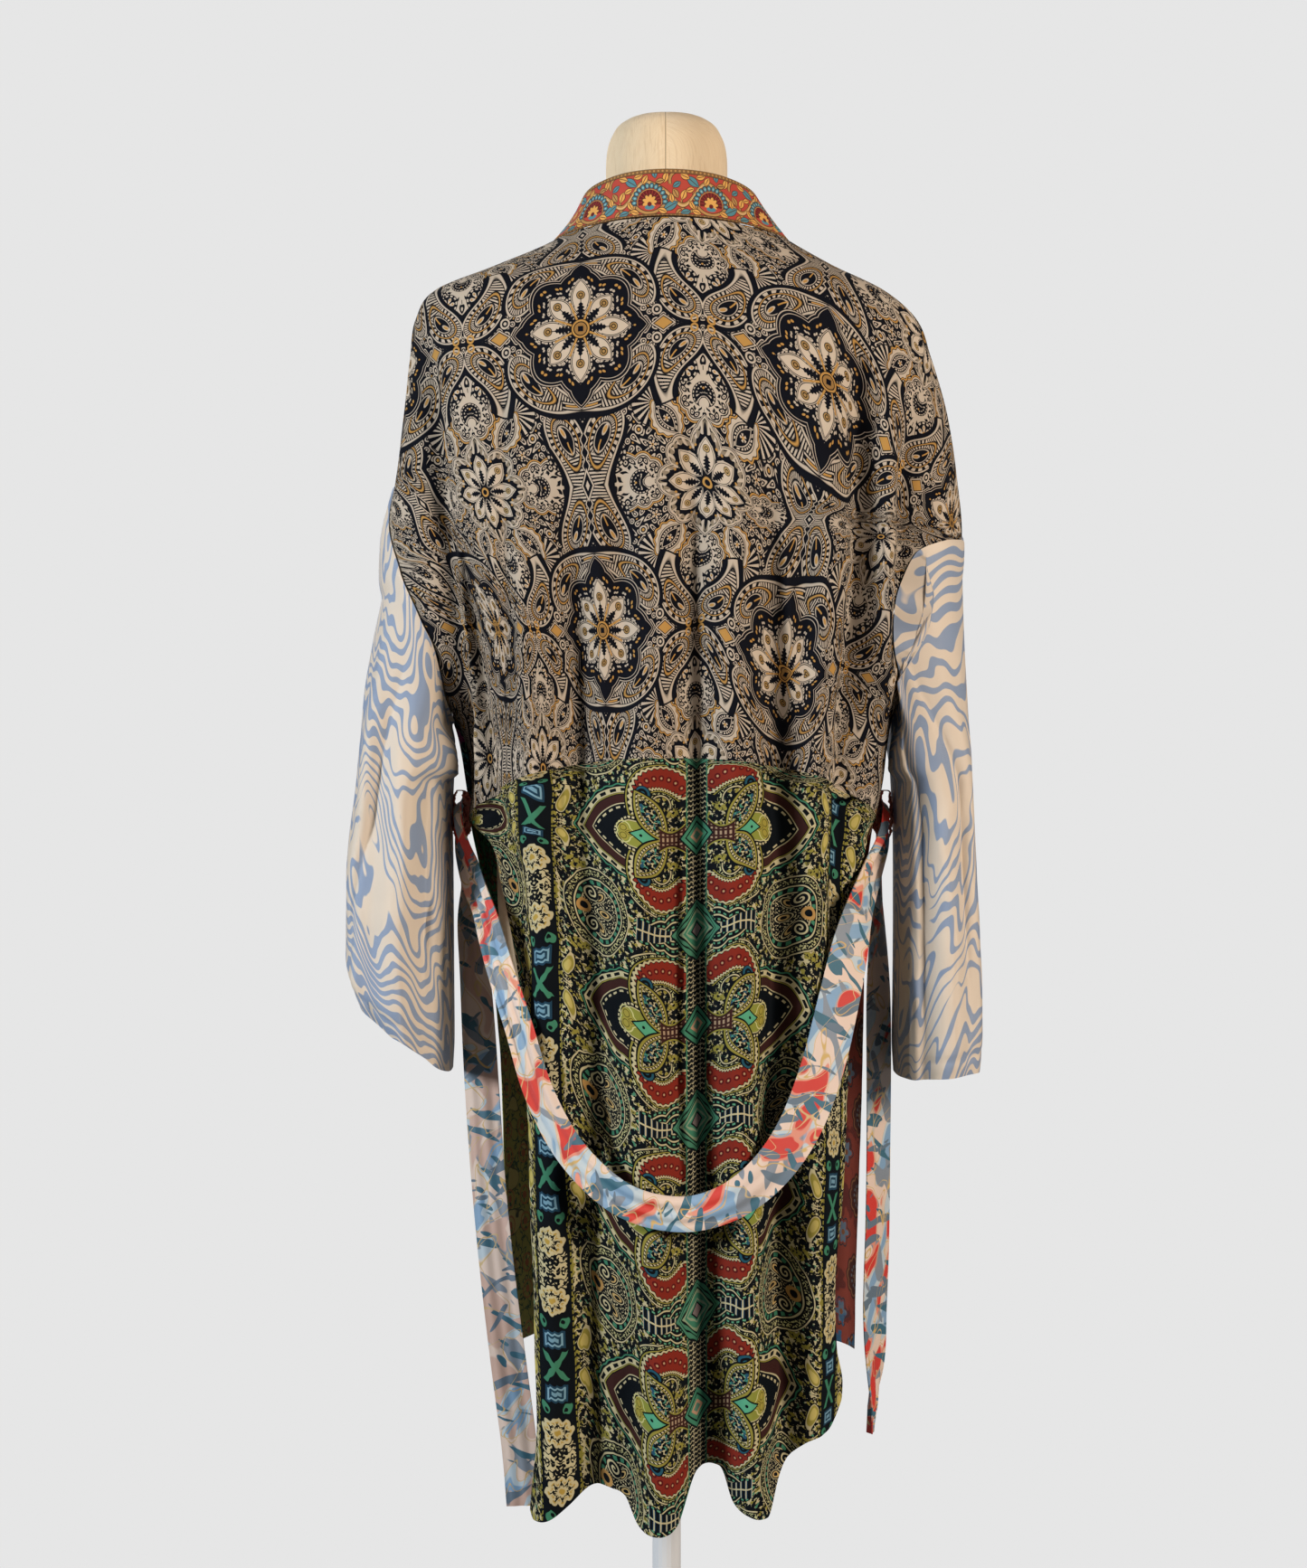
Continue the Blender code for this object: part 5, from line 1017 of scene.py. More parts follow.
def skirt_print(u, v):
    """Mirrored pointed arches with hearts, red curved botehs, fan blossoms, nested lozenges and a chain, all among small specks."""
    A, B = 148.0, 81.0
    x, y = fold(u, A), fold(v, B)
    p = Paint(DEEP)
    # specks: cream, olive and a little jade, in small broken sprigs
    n1, n2 = noise(x, y, 0.34, 2, 1.0), noise(x, y, 0.14, 1, 2.0)
    speck = ink(mad(n2, 0.30, 0.385) - n1, 0.025)
    p.lay(speck, PALE)
    p.lay(speck * ink(n2 - 0.45, 0.04), OLIVE)
    p.lay(speck * ink(0.62 - n2, 0.04), JADE)

    # fan blossom in a rounded shield that points to the axis
    px, py = x - 90.0, y - B
    d = hyp(px, py * 0.90) + most(px * -0.22, 0.0)
    t = angle(py, px)
    fine = noise(x, y, 0.62, 1, 3.0)
    p.lay(ink(d - 34.0), DEEP)
    p.lay(line(d - 33.2, 0.5), PALE)
    p.lay(ink(size(d - 29.4) - 2.2) * ink(fine - 0.46, 0.05), (0.45, 0.42, 0.20))
    p.lay(line(d - 25.2, 0.55), PALE)
    p.lay(ink(size(d - 22.4) - 1.5) * below(-0.1, cosine(t * 21.0)), JADE)
    p.lay(line(d - 19.8, 0.45), PALE)
    qx, qy = 108.0 - x, y - B
    r, a = hyp(qx, qy), angle(qy, qx)
    near = fold(a, math.pi / 9)
    p.lay(ink(d - 19.0) * ink(fine - 0.42, 0.05), PALE)
    petal = hyp(r * cosine(near) - 20.0, r * sine(near) * 2.1)
    p.lay(ink(petal - 9.6) * ink(d - 18.8), DEEP)
    p.lay(line(petal - 8.0, 0.6) * ink(d - 18.8), PALE)
    p.lay(ink(petal - 5.4) * ink(d - 18.8), (0.50, 0.34, 0.13))
    p.lay(ink(petal - 3.2) * ink(d - 18.8), DEEP)
    for side in (13.5,):
        curl = hyp(x - 100.5, y - B + side)
        spiral = mad(angle(y - B + side, x - 100.5), -0.62, curl)
        p.lay(ink(curl - 7.6), DEEP)
        p.lay(line(wrap(spiral, 3.9) - 1.9, 0.75) * ink(curl - 6.9), PALE)
    p.lay(ink(r - 6.0), (0.45, 0.25, 0.08))
    p.lay(ink(r - 3.2), DEEP)
    stem = line(y - B, 0.6) * ink(98.0 - x) * ink(x - 60.0)
    p.lay(stem, (0.45, 0.30, 0.10))

    # the pointed arch, with its brown band
    og = hyp(x - 56.0, y + 17.0) - 50.0
    wavy = cosine(angle(y + 17.0, x - 56.0) * 31.0)
    facing = ink(44.0 - x, 2.0)
    p.lay(ink(og - 9.6) * facing, DEEP)
    p.lay(line(og + wavy * 0.5 - 8.4, 0.55) * facing, JADE)
    p.lay(ink(size(og - 4.1) - 2.3) * facing, PALE)
    p.lay(ink(size(og - 4.1) - 1.3) * below(-0.25, wavy) * facing, DEEP)
    p.lay(line(og - 1.1, 0.4) * facing, OLIVE)
    p.lay(ink(og) * facing, BROWN)
    p.lay(ink(og + 6.6) * facing, PALE)
    p.lay(ink(og + 7.4) * facing, DEEP)
    p.lay(line(og + 9.8, 0.8) * below(-0.1, wavy) * facing, PALE)
    # the heart in a drop, and the small fish shape before it
    drop = hyp(most(x - 60.0, 0.0) * 0.80, y) + most(x - 60.0, 0.0) * 0.34
    drop = most(drop, 0.0) + most(45.0 - x, 0.0) * 0.95
    p.lay(ink(drop - 17.0), DEEP)
    p.lay(ink(size(drop - 14.8) - 0.9) * below(-0.3, cosine(angle(y, x - 58.0) * 26.0)), PALE)
    p.lay(ink(drop - 12.6), PALE)
    p.lay(ink(drop - 11.8), (0.24, 0.25, 0.045))
    heart = least(hyp(x - 65.0, y - 4.2) - 4.6, y + size(x - 60.0) * 0.8 - 4.0)
    p.lay(line(heart - 1.8, 0.5), (0.56, 0.52, 0.22))
    p.lay(ink(heart), (0.34, 0.28, 0.05))
    p.lay(line(heart + 1.6, 0.4), (0.12, 0.10, 0.02))
    fish = y + size(x - 45.0) * 0.62 - 8.4
    p.lay(ink(fish - 1.4), DEEP)
    p.lay(ink(fish), (0.095, 0.36, 0.21))
    p.lay(ink(hyp(x - 40.5, y - 2.2) - 1.0), DEEP)
    p.lay(ink(hyp(x - 50.0, y) - 1.3), DEEP)

    # the red boteh itself, with its outlines; a teal curl ends it
    arc = size(hyp(x - 32.0, y - 28.0) - 23.5)
    over = ink(26.0 - y, 1.0)
    p.lay(ink(arc - 15.8) * over * ink(x - 60.0), DEEP)
    p.lay(line(arc - 14.6, 0.5) * over * ink(x - 60.0), PALE)
    p.lay(ink(size(arc - 11.6) - 1.7) * ink(fine - 0.47, 0.05) * over * ink(x - 60.0), (0.48, 0.47, 0.23))
    bx, by = bend(x, y, 32.0, 28.0, 23.5, 168.0, -1)
    f, turn = boteh(bx, by, 78.0, 9.2)
    p.lay(ink(f - 0.80, 0.05), DEEP)
    p.lay(ink(f - 0.56, 0.05), OLIVE)
    p.lay(ink(f - 0.36, 0.05), DEEP)
    p.lay(ink(f - 0.18 + sine(by * 1.5) * 0.12, 0.05), PALE)
    p.lay(ink(f + 0.14 + sine(by * 1.5) * 0.12, 0.05), DEEP)
    p.lay(ink(f + 0.26 + sine(by * 1.5) * 0.14, 0.05), BRICK)
    p.lay(ink(size(hyp(bx, wrap(by, 7.0) - 3.5) - 2.0) - 0.55) * ink(f + 0.30, 0.05), (0.085, 0.010, 0.010))
    p.lay(ink(hyp(bx, wrap(by, 7.0) - 3.5) - 0.9) * ink(f + 0.30, 0.05), (0.44, 0.33, 0.17))
    curl = hyp(x - 47.5, y - 36.0)
    spiral = mad(angle(y - 36.0, x - 47.5), 0.70, curl)
    p.lay(ink(curl - 7.0), DEEP)
    p.lay(line(wrap(spiral, 4.4) - 2.2, 1.05) * ink(curl - 6.4), (0.018, 0.085, 0.125))

    # a leaf between each red boteh and the heart, sewn round with beads and filled with blossom
    along, across = mad(x - 29.0, 0.58, (y - 1.0) * 0.815), mad(x - 29.0, 0.815, (y - 1.0) * -0.58)
    lf = leaf(along, across, -3.0, 45.0, 12.0)
    p.lay(ink(lf - 1.6), DEEP)
    p.lay(ink(lf), OLIVE)
    p.lay(ink(lf + 1.9), DEEP)
    p.lay(ink(size(lf + 3.1) - 0.75) * below(-0.25, cosine(along * 2.2)), PALE)
    p.lay(line(lf + 4.6, 0.4), OLIVE)
    here = ink(lf + 5.4)
    p.lay(here * ink(0.55 - noise(x, y, 0.34, 2, 7.0), 0.03), PALE)
    p.lay(here * ink(0.62 - noise(x, y, 0.30, 1, 8.0), 0.03), (0.06, 0.25, 0.17))
    p.lay(here * ink(0.57 - noise(x, y, 0.26, 1, 9.0), 0.03), (0.020, 0.075, 0.125))

    # the woven waist between two of them, and the trunk on the axis
    rib = y - mad(size(x - 23.0), size(x - 23.0) * 0.036, 5.0)
    here = ink(x - 34.0) * ink(7.0 - x)
    p.lay(ink(rib - 1.8) * here, OLIVE)
    p.lay(ink(rib - 0.6) * here, DEEP)
    p.lay(ink(rib) * here, BROWN)
    p.lay(ink(rib + 1.2) * below(0.1, sine(x * 1.5)) * below(0.0, sine(y * 1.9)) * here, (0.38, 0.26, 0.16))
    trunk = ink(x - 9.5)
    p.lay(trunk, DEEP)
    p.lay(trunk * line(wrap(y + size(sine(x * 0.9)) * 1.6, 4.2) - 2.1, 0.55) * ink(fine - 0.60, 0.08), PALE)
    p.lay(line(x - 9.0, 0.5), JADE)
    p.lay(line(x - 3.4, 0.4) * below(-0.3, sine(y * 1.9)), (0.45, 0.40, 0.28))
    # waves of cream and black that spread from the lozenge
    wave = mad(size(x), 0.34, B - y)
    wave = mad(size(sine(x * 0.21)), -2.6, wave)
    band = ink(wave - 26.0) * ink(7.0 - wave) * ink(x - 58.0) * ink(16.0 - x)
    p.lay(band, DEEP)
    p.lay(band * line(wrap(wave, 6.3) - 3.0, 0.65), PALE)
    p.lay(band * ink(size(wrap(wave, 6.3) - 5.5) - 0.8) * below(0.0, sine(x * 1.25)), (0.10, 0.30, 0.17))
    fan = ink(size(y - B) - mad(x, 0.16, 0.5)) * ink(18.0 - x) * ink(x - 56.0)
    p.lay(fan, DEEP)
    p.lay(fan * below(0.15, sine(x * 1.15)), (0.022, 0.060, 0.105))
    p.lay(fan * below(0.80, sine(x * 1.15)), PALE)
    p.lay(line(y - B, 0.7) * fan, PALE)

    # lozenges on the axis
    gem = size(x) * 1.12 + size(y - B) * 0.92
    gem = mad(sine(gem * 0.8 + y * 0.35), 0.8, gem)
    p.lay(ink(gem - 26.0), DEEP)
    p.lay(ink(gem - 24.4), (0.060, 0.20, 0.12))
    p.lay(line(gem - 20.6, 0.6), DEEP)
    p.lay(ink(gem - 17.8), DEEP)
    p.lay(ink(gem - 16.2), (0.24, 0.31, 0.19))
    p.lay(ink(gem - 14.0), (0.050, 0.19, 0.115))
    p.lay(line(gem - 9.6, 0.8), (0.24, 0.30, 0.20))
    p.lay(ink(gem - 7.0), DEEP)
    p.lay(ink(gem - 5.0), (0.20, 0.15, 0.145))
    gem = size(x) + y * 0.82
    p.lay(ink(gem - 15.5), DEEP)
    p.lay(ink(gem - 13.8), (0.055, 0.21, 0.125))
    p.lay(line(gem - 9.8, 0.7), DEEP)
    p.lay(ink(gem - 5.8), (0.46, 0.27, 0.17))
    p.lay(ink(gem - 3.4), (0.09, 0.20, 0.14))

    # the chain on the far axis: cream flower heads, blue stones and green knots
    w = A - x
    p.lay(ink(w - 17.5), DEEP)
    p.lay(line(w - 16.7, 0.5) * below(-0.4, sine(y * 1.2)), OLIVE)
    p.lay(ink(w - 13.5) * ink(66.0 - y) * ink(noise(x, y, 0.36, 1, 8.5) * -1.0 + 0.52, 0.04), PALE)
    d, t = hyp(w * 0.90, y - 56.0), angle(y - 56.0, w)
    bloom = mad(size(cosine(t * 4.0)), -2.4, d)
    p.lay(ink(bloom - 11.8), DEEP)
    p.lay(ink(bloom - 10.4), PALE)
    p.lay(ink(size(fold(t, math.pi / 8) * d) - 0.55) * ink(d - 9.6) * ink(4.6 - d), DEEP)
    p.lay(line(bloom - 7.2, 0.7) * below(-0.5, cosine(t * 16.0)), (0.42, 0.28, 0.06))
    p.lay(line(bloom - 4.2, 0.7), DEEP)
    p.lay(ink(d - 2.4), (0.42, 0.28, 0.06))
    stone = most(size(w) - 7.0, size(y - 23.0) - 4.6)
    p.lay(ink(stone - 2.6), (0.016, 0.050, 0.085))
    p.lay(ink(stone - 0.6), (0.19, 0.34, 0.42))
    p.lay(ink(stone + 1.0), (0.015, 0.045, 0.075))
    p.lay(ink(stone + 3.0), (0.16, 0.30, 0.38))
    knot = size(w - y * 0.72) - 2.5
    p.lay(ink(knot) * ink(w - 13.0) * ink(y - 12.5), JADE)
    p.lay(ink(hyp(w - 9.5, y - 36.5) - 4.4), JADE)
    p.lay(ink(hyp(w - 8.0, y - 37.5) - 1.8), DEEP)
    # small olive drops beside the chain
    f, turn = boteh(x - 121.5 - sine(y * 0.16) * 2.4, y - 8.0, 23.0, 5.0)
    p.lay(ink(f - 0.45, 0.1), DEEP)
    p.lay(ink(f - 0.12, 0.1), PALE)
    p.lay(ink(f + 0.12, 0.1), (0.30, 0.25, 0.05))
    p.lay(ink(f + 0.62, 0.1), (0.50, 0.40, 0.12))
    return p


CORAL, OCHRE, SCARLET, SEA = (0.46, 0.058, 0.036), (0.47, 0.245, 0.075), (0.13, 0.010, 0.010), (0.085, 0.235, 0.27)
YOLK, RUSSET = (0.74, 0.37, 0.09), (0.060, 0.024, 0.010)


def band_print(u, v):
    """Coral red with a branching vine, fan flowers, buds and leaves; a dotted stripe along its fold. v is 0 at the seam, 44 at the fold."""
    p = Paint(CORAL)
    u = u * 1.16
    x = wrap(u, 62.0)
    # vine and its branches
    stem = v - 22.0 + cosine(u * (2 * math.pi / 62.0)) * 10.5 + sine(u * (4 * math.pi / 62.0) + 0.6) * 2.2
    for cx, cy, r, a in ((31.0, 20.0, 17.5, 1), (60.0, 33.0, 9.0, -1), (8.0, 12.0, 8.0, 1)):
        ring = hyp(x - cx, v - cy) - r
        p.lay(line(ring, 1.9) * ink((v - cy) * a * 1.0 - 3.0, 2.0), RUSSET)
        p.lay(line(ring, 1.2) * ink((v - cy) * a * 1.0 - 3.0, 2.0), OCHRE)
    p.lay(line(stem, 2.7), RUSSET)
    p.lay(line(stem, 1.9), OCHRE)
    p.lay(line(stem + 0.4, 0.7), (0.66, 0.42, 0.19))
    # leaves and buds
    for cx, cy, turn_, long, half, colour in ((12.0, 33.0, -35, 7.5, 3.6, SEA), (52.0, 9.0, 30, 8.0, 3.8, SEA), (3.0, 20.0, 70, 5.0, 2.8, YOLK),
                                              (47.0, 36.0, 75, 5.0, 2.7, YOLK), (20.0, 38.0, 15, 4.6, 2.6, YOLK), (57.0, 21.0, -60, 4.8, 2.7, OCHRE),
                                              (36.0, 40.0, 100, 4.5, 2.5, SEA), (44.0, 4.5, -20, 4.6, 2.5, YOLK), (5.0, 3.5, 10, 5.0, 2.6, SEA), (16.0, 4.0, 160, 4.6, 2.4, YOLK),
                                              (26.5, 34.5, 60, 4.4, 2.5, YOLK), (4.0, 37.5, -20, 5.0, 2.7, YOLK), (58.0, 29.5, 35, 4.4, 2.4, SEA), (9.5, 25.0, 20, 4.2, 2.3, YOLK),
                                              (53.0, 16.5, 100, 4.2, 2.3, YOLK), (11.5, 10.5, -60, 4.4, 2.4, YOLK), (41.5, 32.5, 10, 4.2, 2.3, OCHRE), (60.5, 3.5, 45, 4.2, 2.3, OCHRE)):
        c, s = math.cos(math.radians(turn_)), math.sin(math.radians(turn_))
        ax, ay = mad(x - cx, c, (v - cy) * s), mad(x - cx, -s, (v - cy) * c)
        lf = mad(ax * ax, half / long ** 2, size(ay)) - half
        p.lay(ink(lf - 0.7), RUSSET)
        p.lay(ink(lf), colour)
        p.lay(line(ay, 0.35) * ink(lf + 0.8), RUSSET)
    # the fan flower
    px, py = x - 31.0, v - 13.0
    d, t = hyp(px, py), angle(py, px)
    up = ink(-3.0 - py, 1.0)
    drop = hyp((d - 15.4) * 0.72, fold(t, math.pi / 22) * 15.4)
    p.lay(ink(drop - 2.35) * up, (0.028, 0.035, 0.040))
    p.lay(ink(drop - 1.65) * up, SEA)
    p.lay(ink(drop - 0.70) * up, (0.30, 0.47, 0.47))
    p.lay(ink(d - 13.0) * up, SCARLET)
    p.lay(ink(size(sine(t * 10.0)) * d - 1.6) * ink(d - 11.8) * ink(7.0 - d) * up, CORAL)
    p.lay(line(d - 12.2, 0.4) * up, OCHRE)
    p.lay(ink(mad(size(cosine(t * 4.5)), -2.6, d - 5.0)) * ink(-4.0 - py, 0.8), YOLK)
    p.lay(line(mad(size(cosine(t * 4.5)), -2.6, d - 5.0), 0.4) * up, RUSSET)
    p.lay(ink(hyp(px * 0.55, py + 2.5) - 2.6), YOLK)
    p.lay(ink(hyp(px * 0.5, py + 5.0) - 2.4), SEA)
    p.lay(ink(hyp(px, py + 2.0) - 2.2), SCARLET)
    # the dotted stripe along the fold and the seam
    for edge, broad in ((42.0, 2.4), (0.2, 1.5)):
        s = size(v - edge)
        p.lay(ink(s - broad), RUSSET)
        p.lay(ink(s - broad + 0.5), (0.20, 0.10, 0.035))
        p.lay(ink(hyp(wrap(u, 4.2) - 2.1, v - edge) - broad * 0.42), OCHRE)
    return p


def sleeve_print(u, v):
    """Cream satin with slate blue stripes that run and swirl like the grain of wood."""
    p = Paint((0.70, 0.58, 0.455))
    slow, mid = noise(u, v * 0.66, 0.0092, 1, 12.0), noise(u * 0.9 + v * 0.3, v * 0.6 - u * 0.3, 0.026, 1, 11.0)
    f = mad(slow, 17.0, mad(mid, 5.0, mad(u, 0.030, v * -0.050)))
    w = mad(noise(u, v * 0.5, 0.020, 1, 13.0), 3.4, -1.38)
    p.lay(ink(0.52 - (sine(f * 2 * math.pi) + w), 0.16), (0.245, 0.305, 0.42))
    return p


def stroke(u, v, turn, long, scale, seed):
    """Noise drawn out along one way, so that it falls into brush strokes."""
    c, s = math.cos(math.radians(turn)), math.sin(math.radians(turn))
    return noise(mad(u, c / long, v * (s / long)), mad(u, -s, v * c), scale, 1, seed)


def belt_print(u, v):
    """Satin with large brushed blossoms: cream, sky, slate and teal strokes, red away from its left end, with thin gold outlines."""
    p = Paint((0.76, 0.58, 0.47))
    bowl = noise(u, v, 0.016, 0, 20.0) * 46.0
    a, b = stroke(u + bowl, v, 40.0, 2.4, 0.046, 21.0), stroke(u - bowl, v, -35.0, 2.6, 0.054, 22.0)
    p.lay(ink(0.51 - a, 0.010), (0.50, 0.58, 0.62))
    p.lay(ink(0.575 - a, 0.010), (0.22, 0.36, 0.52))
    p.lay(ink(0.58 - b, 0.010), (0.23, 0.26, 0.30))
    red = ink(640.0 - u, 8.0)
    c = stroke(u + bowl, v - bowl, 15.0, 1.7, 0.042, 23.0)
    p.lay(ink(0.560 - c, 0.010) * red, (0.72, 0.27, 0.18))
    p.lay(ink(0.590 - c, 0.010) * red, (0.62, 0.035, 0.022))
    p.lay(ink(0.575 - c, 0.015) * ink(u - 640.0, 8.0), (0.62, 0.40, 0.31))
    d = stroke(u, v + bowl, -62.0, 3.0, 0.080, 24.0)
    p.lay(ink(0.605 - d, 0.010), (0.040, 0.135, 0.19))
    e = stroke(u - bowl, v, 68.0, 3.0, 0.075, 25.0)
    p.lay(ink(0.620 - e, 0.010), (0.12, 0.17, 0.22))
    p.lay(ink(size(c - 0.53) - 0.006, 0.006), (0.62, 0.40, 0.13))
    p.lay(ink(size(a - 0.50) - 0.005, 0.006), (0.62, 0.44, 0.20))
    return p


def front_left_print(u, v):
    """Jade green cloth that turns olive lower down, with a darker leafy print; v is the height above the floor. The
    jade ground is painted lighter than the cloth's own: painted light that makes up for the shadow it lies in.
    """
    p = Paint((0.085, 0.33, 0.15))
    p.lay(calc("MULTIPLY_ADD", v, -1 / 110.0, 7.3, clamp=True), (0.25, 0.24, 0.060))
    n, m = noise(u, v, 0.085, 2, 31.0), noise(u, v, 0.045, 1, 32.0)
    p.lay(ink(size(n - 0.5) - 0.025, 0.02), (0.030, 0.070, 0.035))
    p.lay(ink(0.60 - m, 0.02), (0.34, 0.30, 0.10))
    p.lay(ink(size(m - 0.60) - 0.012, 0.01), (0.05, 0.06, 0.03))
    d = hyp(fold(u, 24.0) - 10.0, fold(v, 31.0) - 12.0)
    p.lay(line(d - 8.0, 0.9), (0.28, 0.13, 0.045))
    p.lay(ink(d - 3.4), (0.27, 0.10, 0.04))
    return p


def front_right_print(u, v):
    """Rust cloth with brown medallions and grey-blue sprigs, blue at the hem; v is the height above the floor."""
    p = Paint((0.38, 0.070, 0.040))
    p.lay(ink(0.56 - noise(u, v, 0.05, 2, 41.0), 0.03), (0.20, 0.040, 0.028))
    x, y = fold(u, 28.0), fold(v, 36.0)
    d, t = hyp(x, y), angle(y, x)
    edge = mad(size(cosine(t * 5.0)), -2.2, d)
    p.lay(ink(edge - 19.0), (0.10, 0.030, 0.020))
    p.lay(line(edge - 16.0, 1.0), (0.36, 0.14, 0.06))
    p.lay(line(d - 9.5, 1.4) * below(0.0, cosine(t * 12.0)), (0.22, 0.22, 0.22))
    p.lay(ink(mad(cosine(t * 6.0), -2.0, d - 5.0)), (0.30, 0.17, 0.10))
    d, t = hyp(28.0 - x, 36.0 - y), angle(36.0 - y, 28.0 - x)
    p.lay(ink(mad(cosine(t * 5.0), -2.4, d - 7.5)), (0.20, 0.24, 0.28))
    p.lay(ink(d - 2.6), (0.34, 0.12, 0.05))
    p.lay(line(mad(cosine(t * 5.0), -2.4, d - 10.5), 0.8), (0.06, 0.05, 0.05))
    p.lay(calc("MULTIPLY_ADD", v, -1 / 26.0, 18.6, clamp=True) * ink(0.60 - noise(u, v, 0.10, 1, 42.0), 0.06), (0.06, 0.16, 0.26))
    return p


def front_upper_print(u, v):
    """Near-black cloth with a loose flower print in teal, magenta, violet and cream."""
    p = Paint((0.010, 0.014, 0.020))
    n = noise(u, v, 0.12, 1, 51.0)
    stray = noise(u, v, 0.018, 1, 53.0)
    x, y = fold(u + mad(stray, 44.0, -22.0), 45.0), fold(v + mad(stray, -30.0, 15.0), 54.0)
    p.lay(ink(0.60 - n, 0.03), (0.035, 0.16, 0.17))
    for cx, cy, r, k, colour in ((14.0, 13.0, 10.5, 5.0, (0.27, 0.030, 0.13)), (32.0, 36.0, 9.5, 6.0, (0.035, 0.19, 0.20)), (35.0, 11.0, 6.5, 5.0, (0.12, 0.075, 0.22)),
                                 (10.0, 40.0, 6.0, 5.0, (0.40, 0.32, 0.24))):
        px, py = x - cx, y - cy
        d = mad(cosine(angle(py, px) * k), -r * 0.22, hyp(px, py))
        p.lay(ink(d - r - 1.0), (0.012, 0.018, 0.024))
        p.lay(ink(d - r), colour)
        p.lay(line(d - r * 0.62, 0.5), tuple(c * 0.35 for c in colour))
        p.lay(ink(d - r * 0.24), (0.45, 0.28, 0.10))
    p.lay(ink(size(noise(u, v, 0.075, 1, 52.0) - 0.5) - 0.012, 0.012), (0.16, 0.28, 0.16))
    return p
# ------------------------------------------------------------------ the sums as shader nodes
TREE = None
LINK = None


def begin(name):
    global TREE
    mat = bpy.data.materials.new(name)
    mat.use_nodes = True
    TREE = mat.node_tree
    return mat, TREE.nodes["Principled BSDF"]


def feed(socket, value):
    if isinstance(value, Val):
        value = value.it
    if isinstance(value, bpy.types.NodeSocket):
        TREE.links.new(value, socket)
    else:
        socket.default_value = value


def calc(op, a, b=0.0, c=0.0, clamp=False):
    n = TREE.nodes.new("ShaderNodeMath")
    n.operation = op
    n.use_clamp = clamp
    for socket, v in zip(n.inputs, (a, b, c)):
        feed(socket, v)
    return Val(n.outputs[0])


def blank(colour):
    return (*colour, 1.0)


def blend(under, mask, colour):
    n = TREE.nodes.new("ShaderNodeMix")
    n.data_type = "RGBA"
    feed(n.inputs[0], mask)
    feed(n.inputs[6], under)
    feed(n.inputs[7], colour.it if isinstance(colour, Paint) else (*colour, 1.0))
    return n.outputs[2]


def noise(u, v, scale, detail=2.0, seed=0.0):
    at = TREE.nodes.new("ShaderNodeCombineXYZ")
    feed(at.inputs[0], u)
    feed(at.inputs[1], v)
    at.inputs[2].default_value = seed * 37.0
    n = TREE.nodes.new("ShaderNodeTexNoise")
    n.inputs["Scale"].default_value = scale
    n.inputs["Detail"].default_value = detail
    n.inputs["Roughness"].default_value = 0.55
    TREE.links.new(at.outputs[0], n.inputs["Vector"])
    return Val(n.outputs["Fac"])


def cloth_place():
    """The panel's own cloth coordinates, in millimetres."""
    uv = TREE.nodes.new("ShaderNodeUVMap")
    uv.uv_map = "Cloth"
    part = TREE.nodes.new("ShaderNodeSeparateXYZ")
    TREE.links.new(uv.outputs[0], part.inputs[0])
    return Val(part.outputs[0]) * 1000.0, Val(part.outputs[1]) * 1000.0


def bump(shader, height, deep, strength=1.0):
    n = TREE.nodes.new("ShaderNodeBump")
    n.inputs["Strength"].default_value = strength
    n.inputs["Distance"].default_value = deep
    feed(n.inputs["Height"], height)
    TREE.links.new(n.outputs[0], shader.inputs["Normal"])


def printed(name, pattern, rough, sheen, weave=0.55, specular=0.35, worn=0.10, sheen_tint=(0.9, 0.88, 0.85), print_scale=1.0, shine=None):
    mat, shader = begin(name)
    u, v = cloth_place()
    p = pattern(u * print_scale, v * print_scale) if print_scale != 1.0 else pattern(u, v)
    # faded a little unevenly, as washed cloth is
    n = noise(u, v, 0.011, 3, 60.0)
    mix = TREE.nodes.new("ShaderNodeMix")
    mix.data_type = "RGBA"
    mix.blend_type = "MULTIPLY"
    mix.inputs[0].default_value = 1.0
    feed(mix.inputs[6], p.it)
    grey = TREE.nodes.new("ShaderNodeCombineXYZ")
    level = mad(n, worn * 2, 1.0 - worn)
    for k in range(3):
        feed(grey.inputs[k], level)
    TREE.links.new(grey.outputs[0], mix.inputs[7])
    TREE.links.new(mix.outputs[2], shader.inputs["Base Color"])
    feed(shader.inputs["Roughness"], mad(noise(u, v, 0.05, 1, 61.0), 0.14, rough - 0.07))
    shader.inputs["Specular IOR Level"].default_value = specular
    shader.inputs["Sheen Weight"].default_value = sheen
    shader.inputs["Sheen Roughness"].default_value = 0.45
    shader.inputs["Sheen Tint"].default_value = (*sheen_tint, 1)
    if shine:
        shader.inputs["Anisotropic"].default_value = shine
    k = 2 * math.pi / weave
    height = mad(sine(u * k) * sine(v * k), 0.5, noise(u, v, 0.12, 2, 62.0) * 3.0)
    bump(shader, height, 0.00012, 0.7)
    return mat


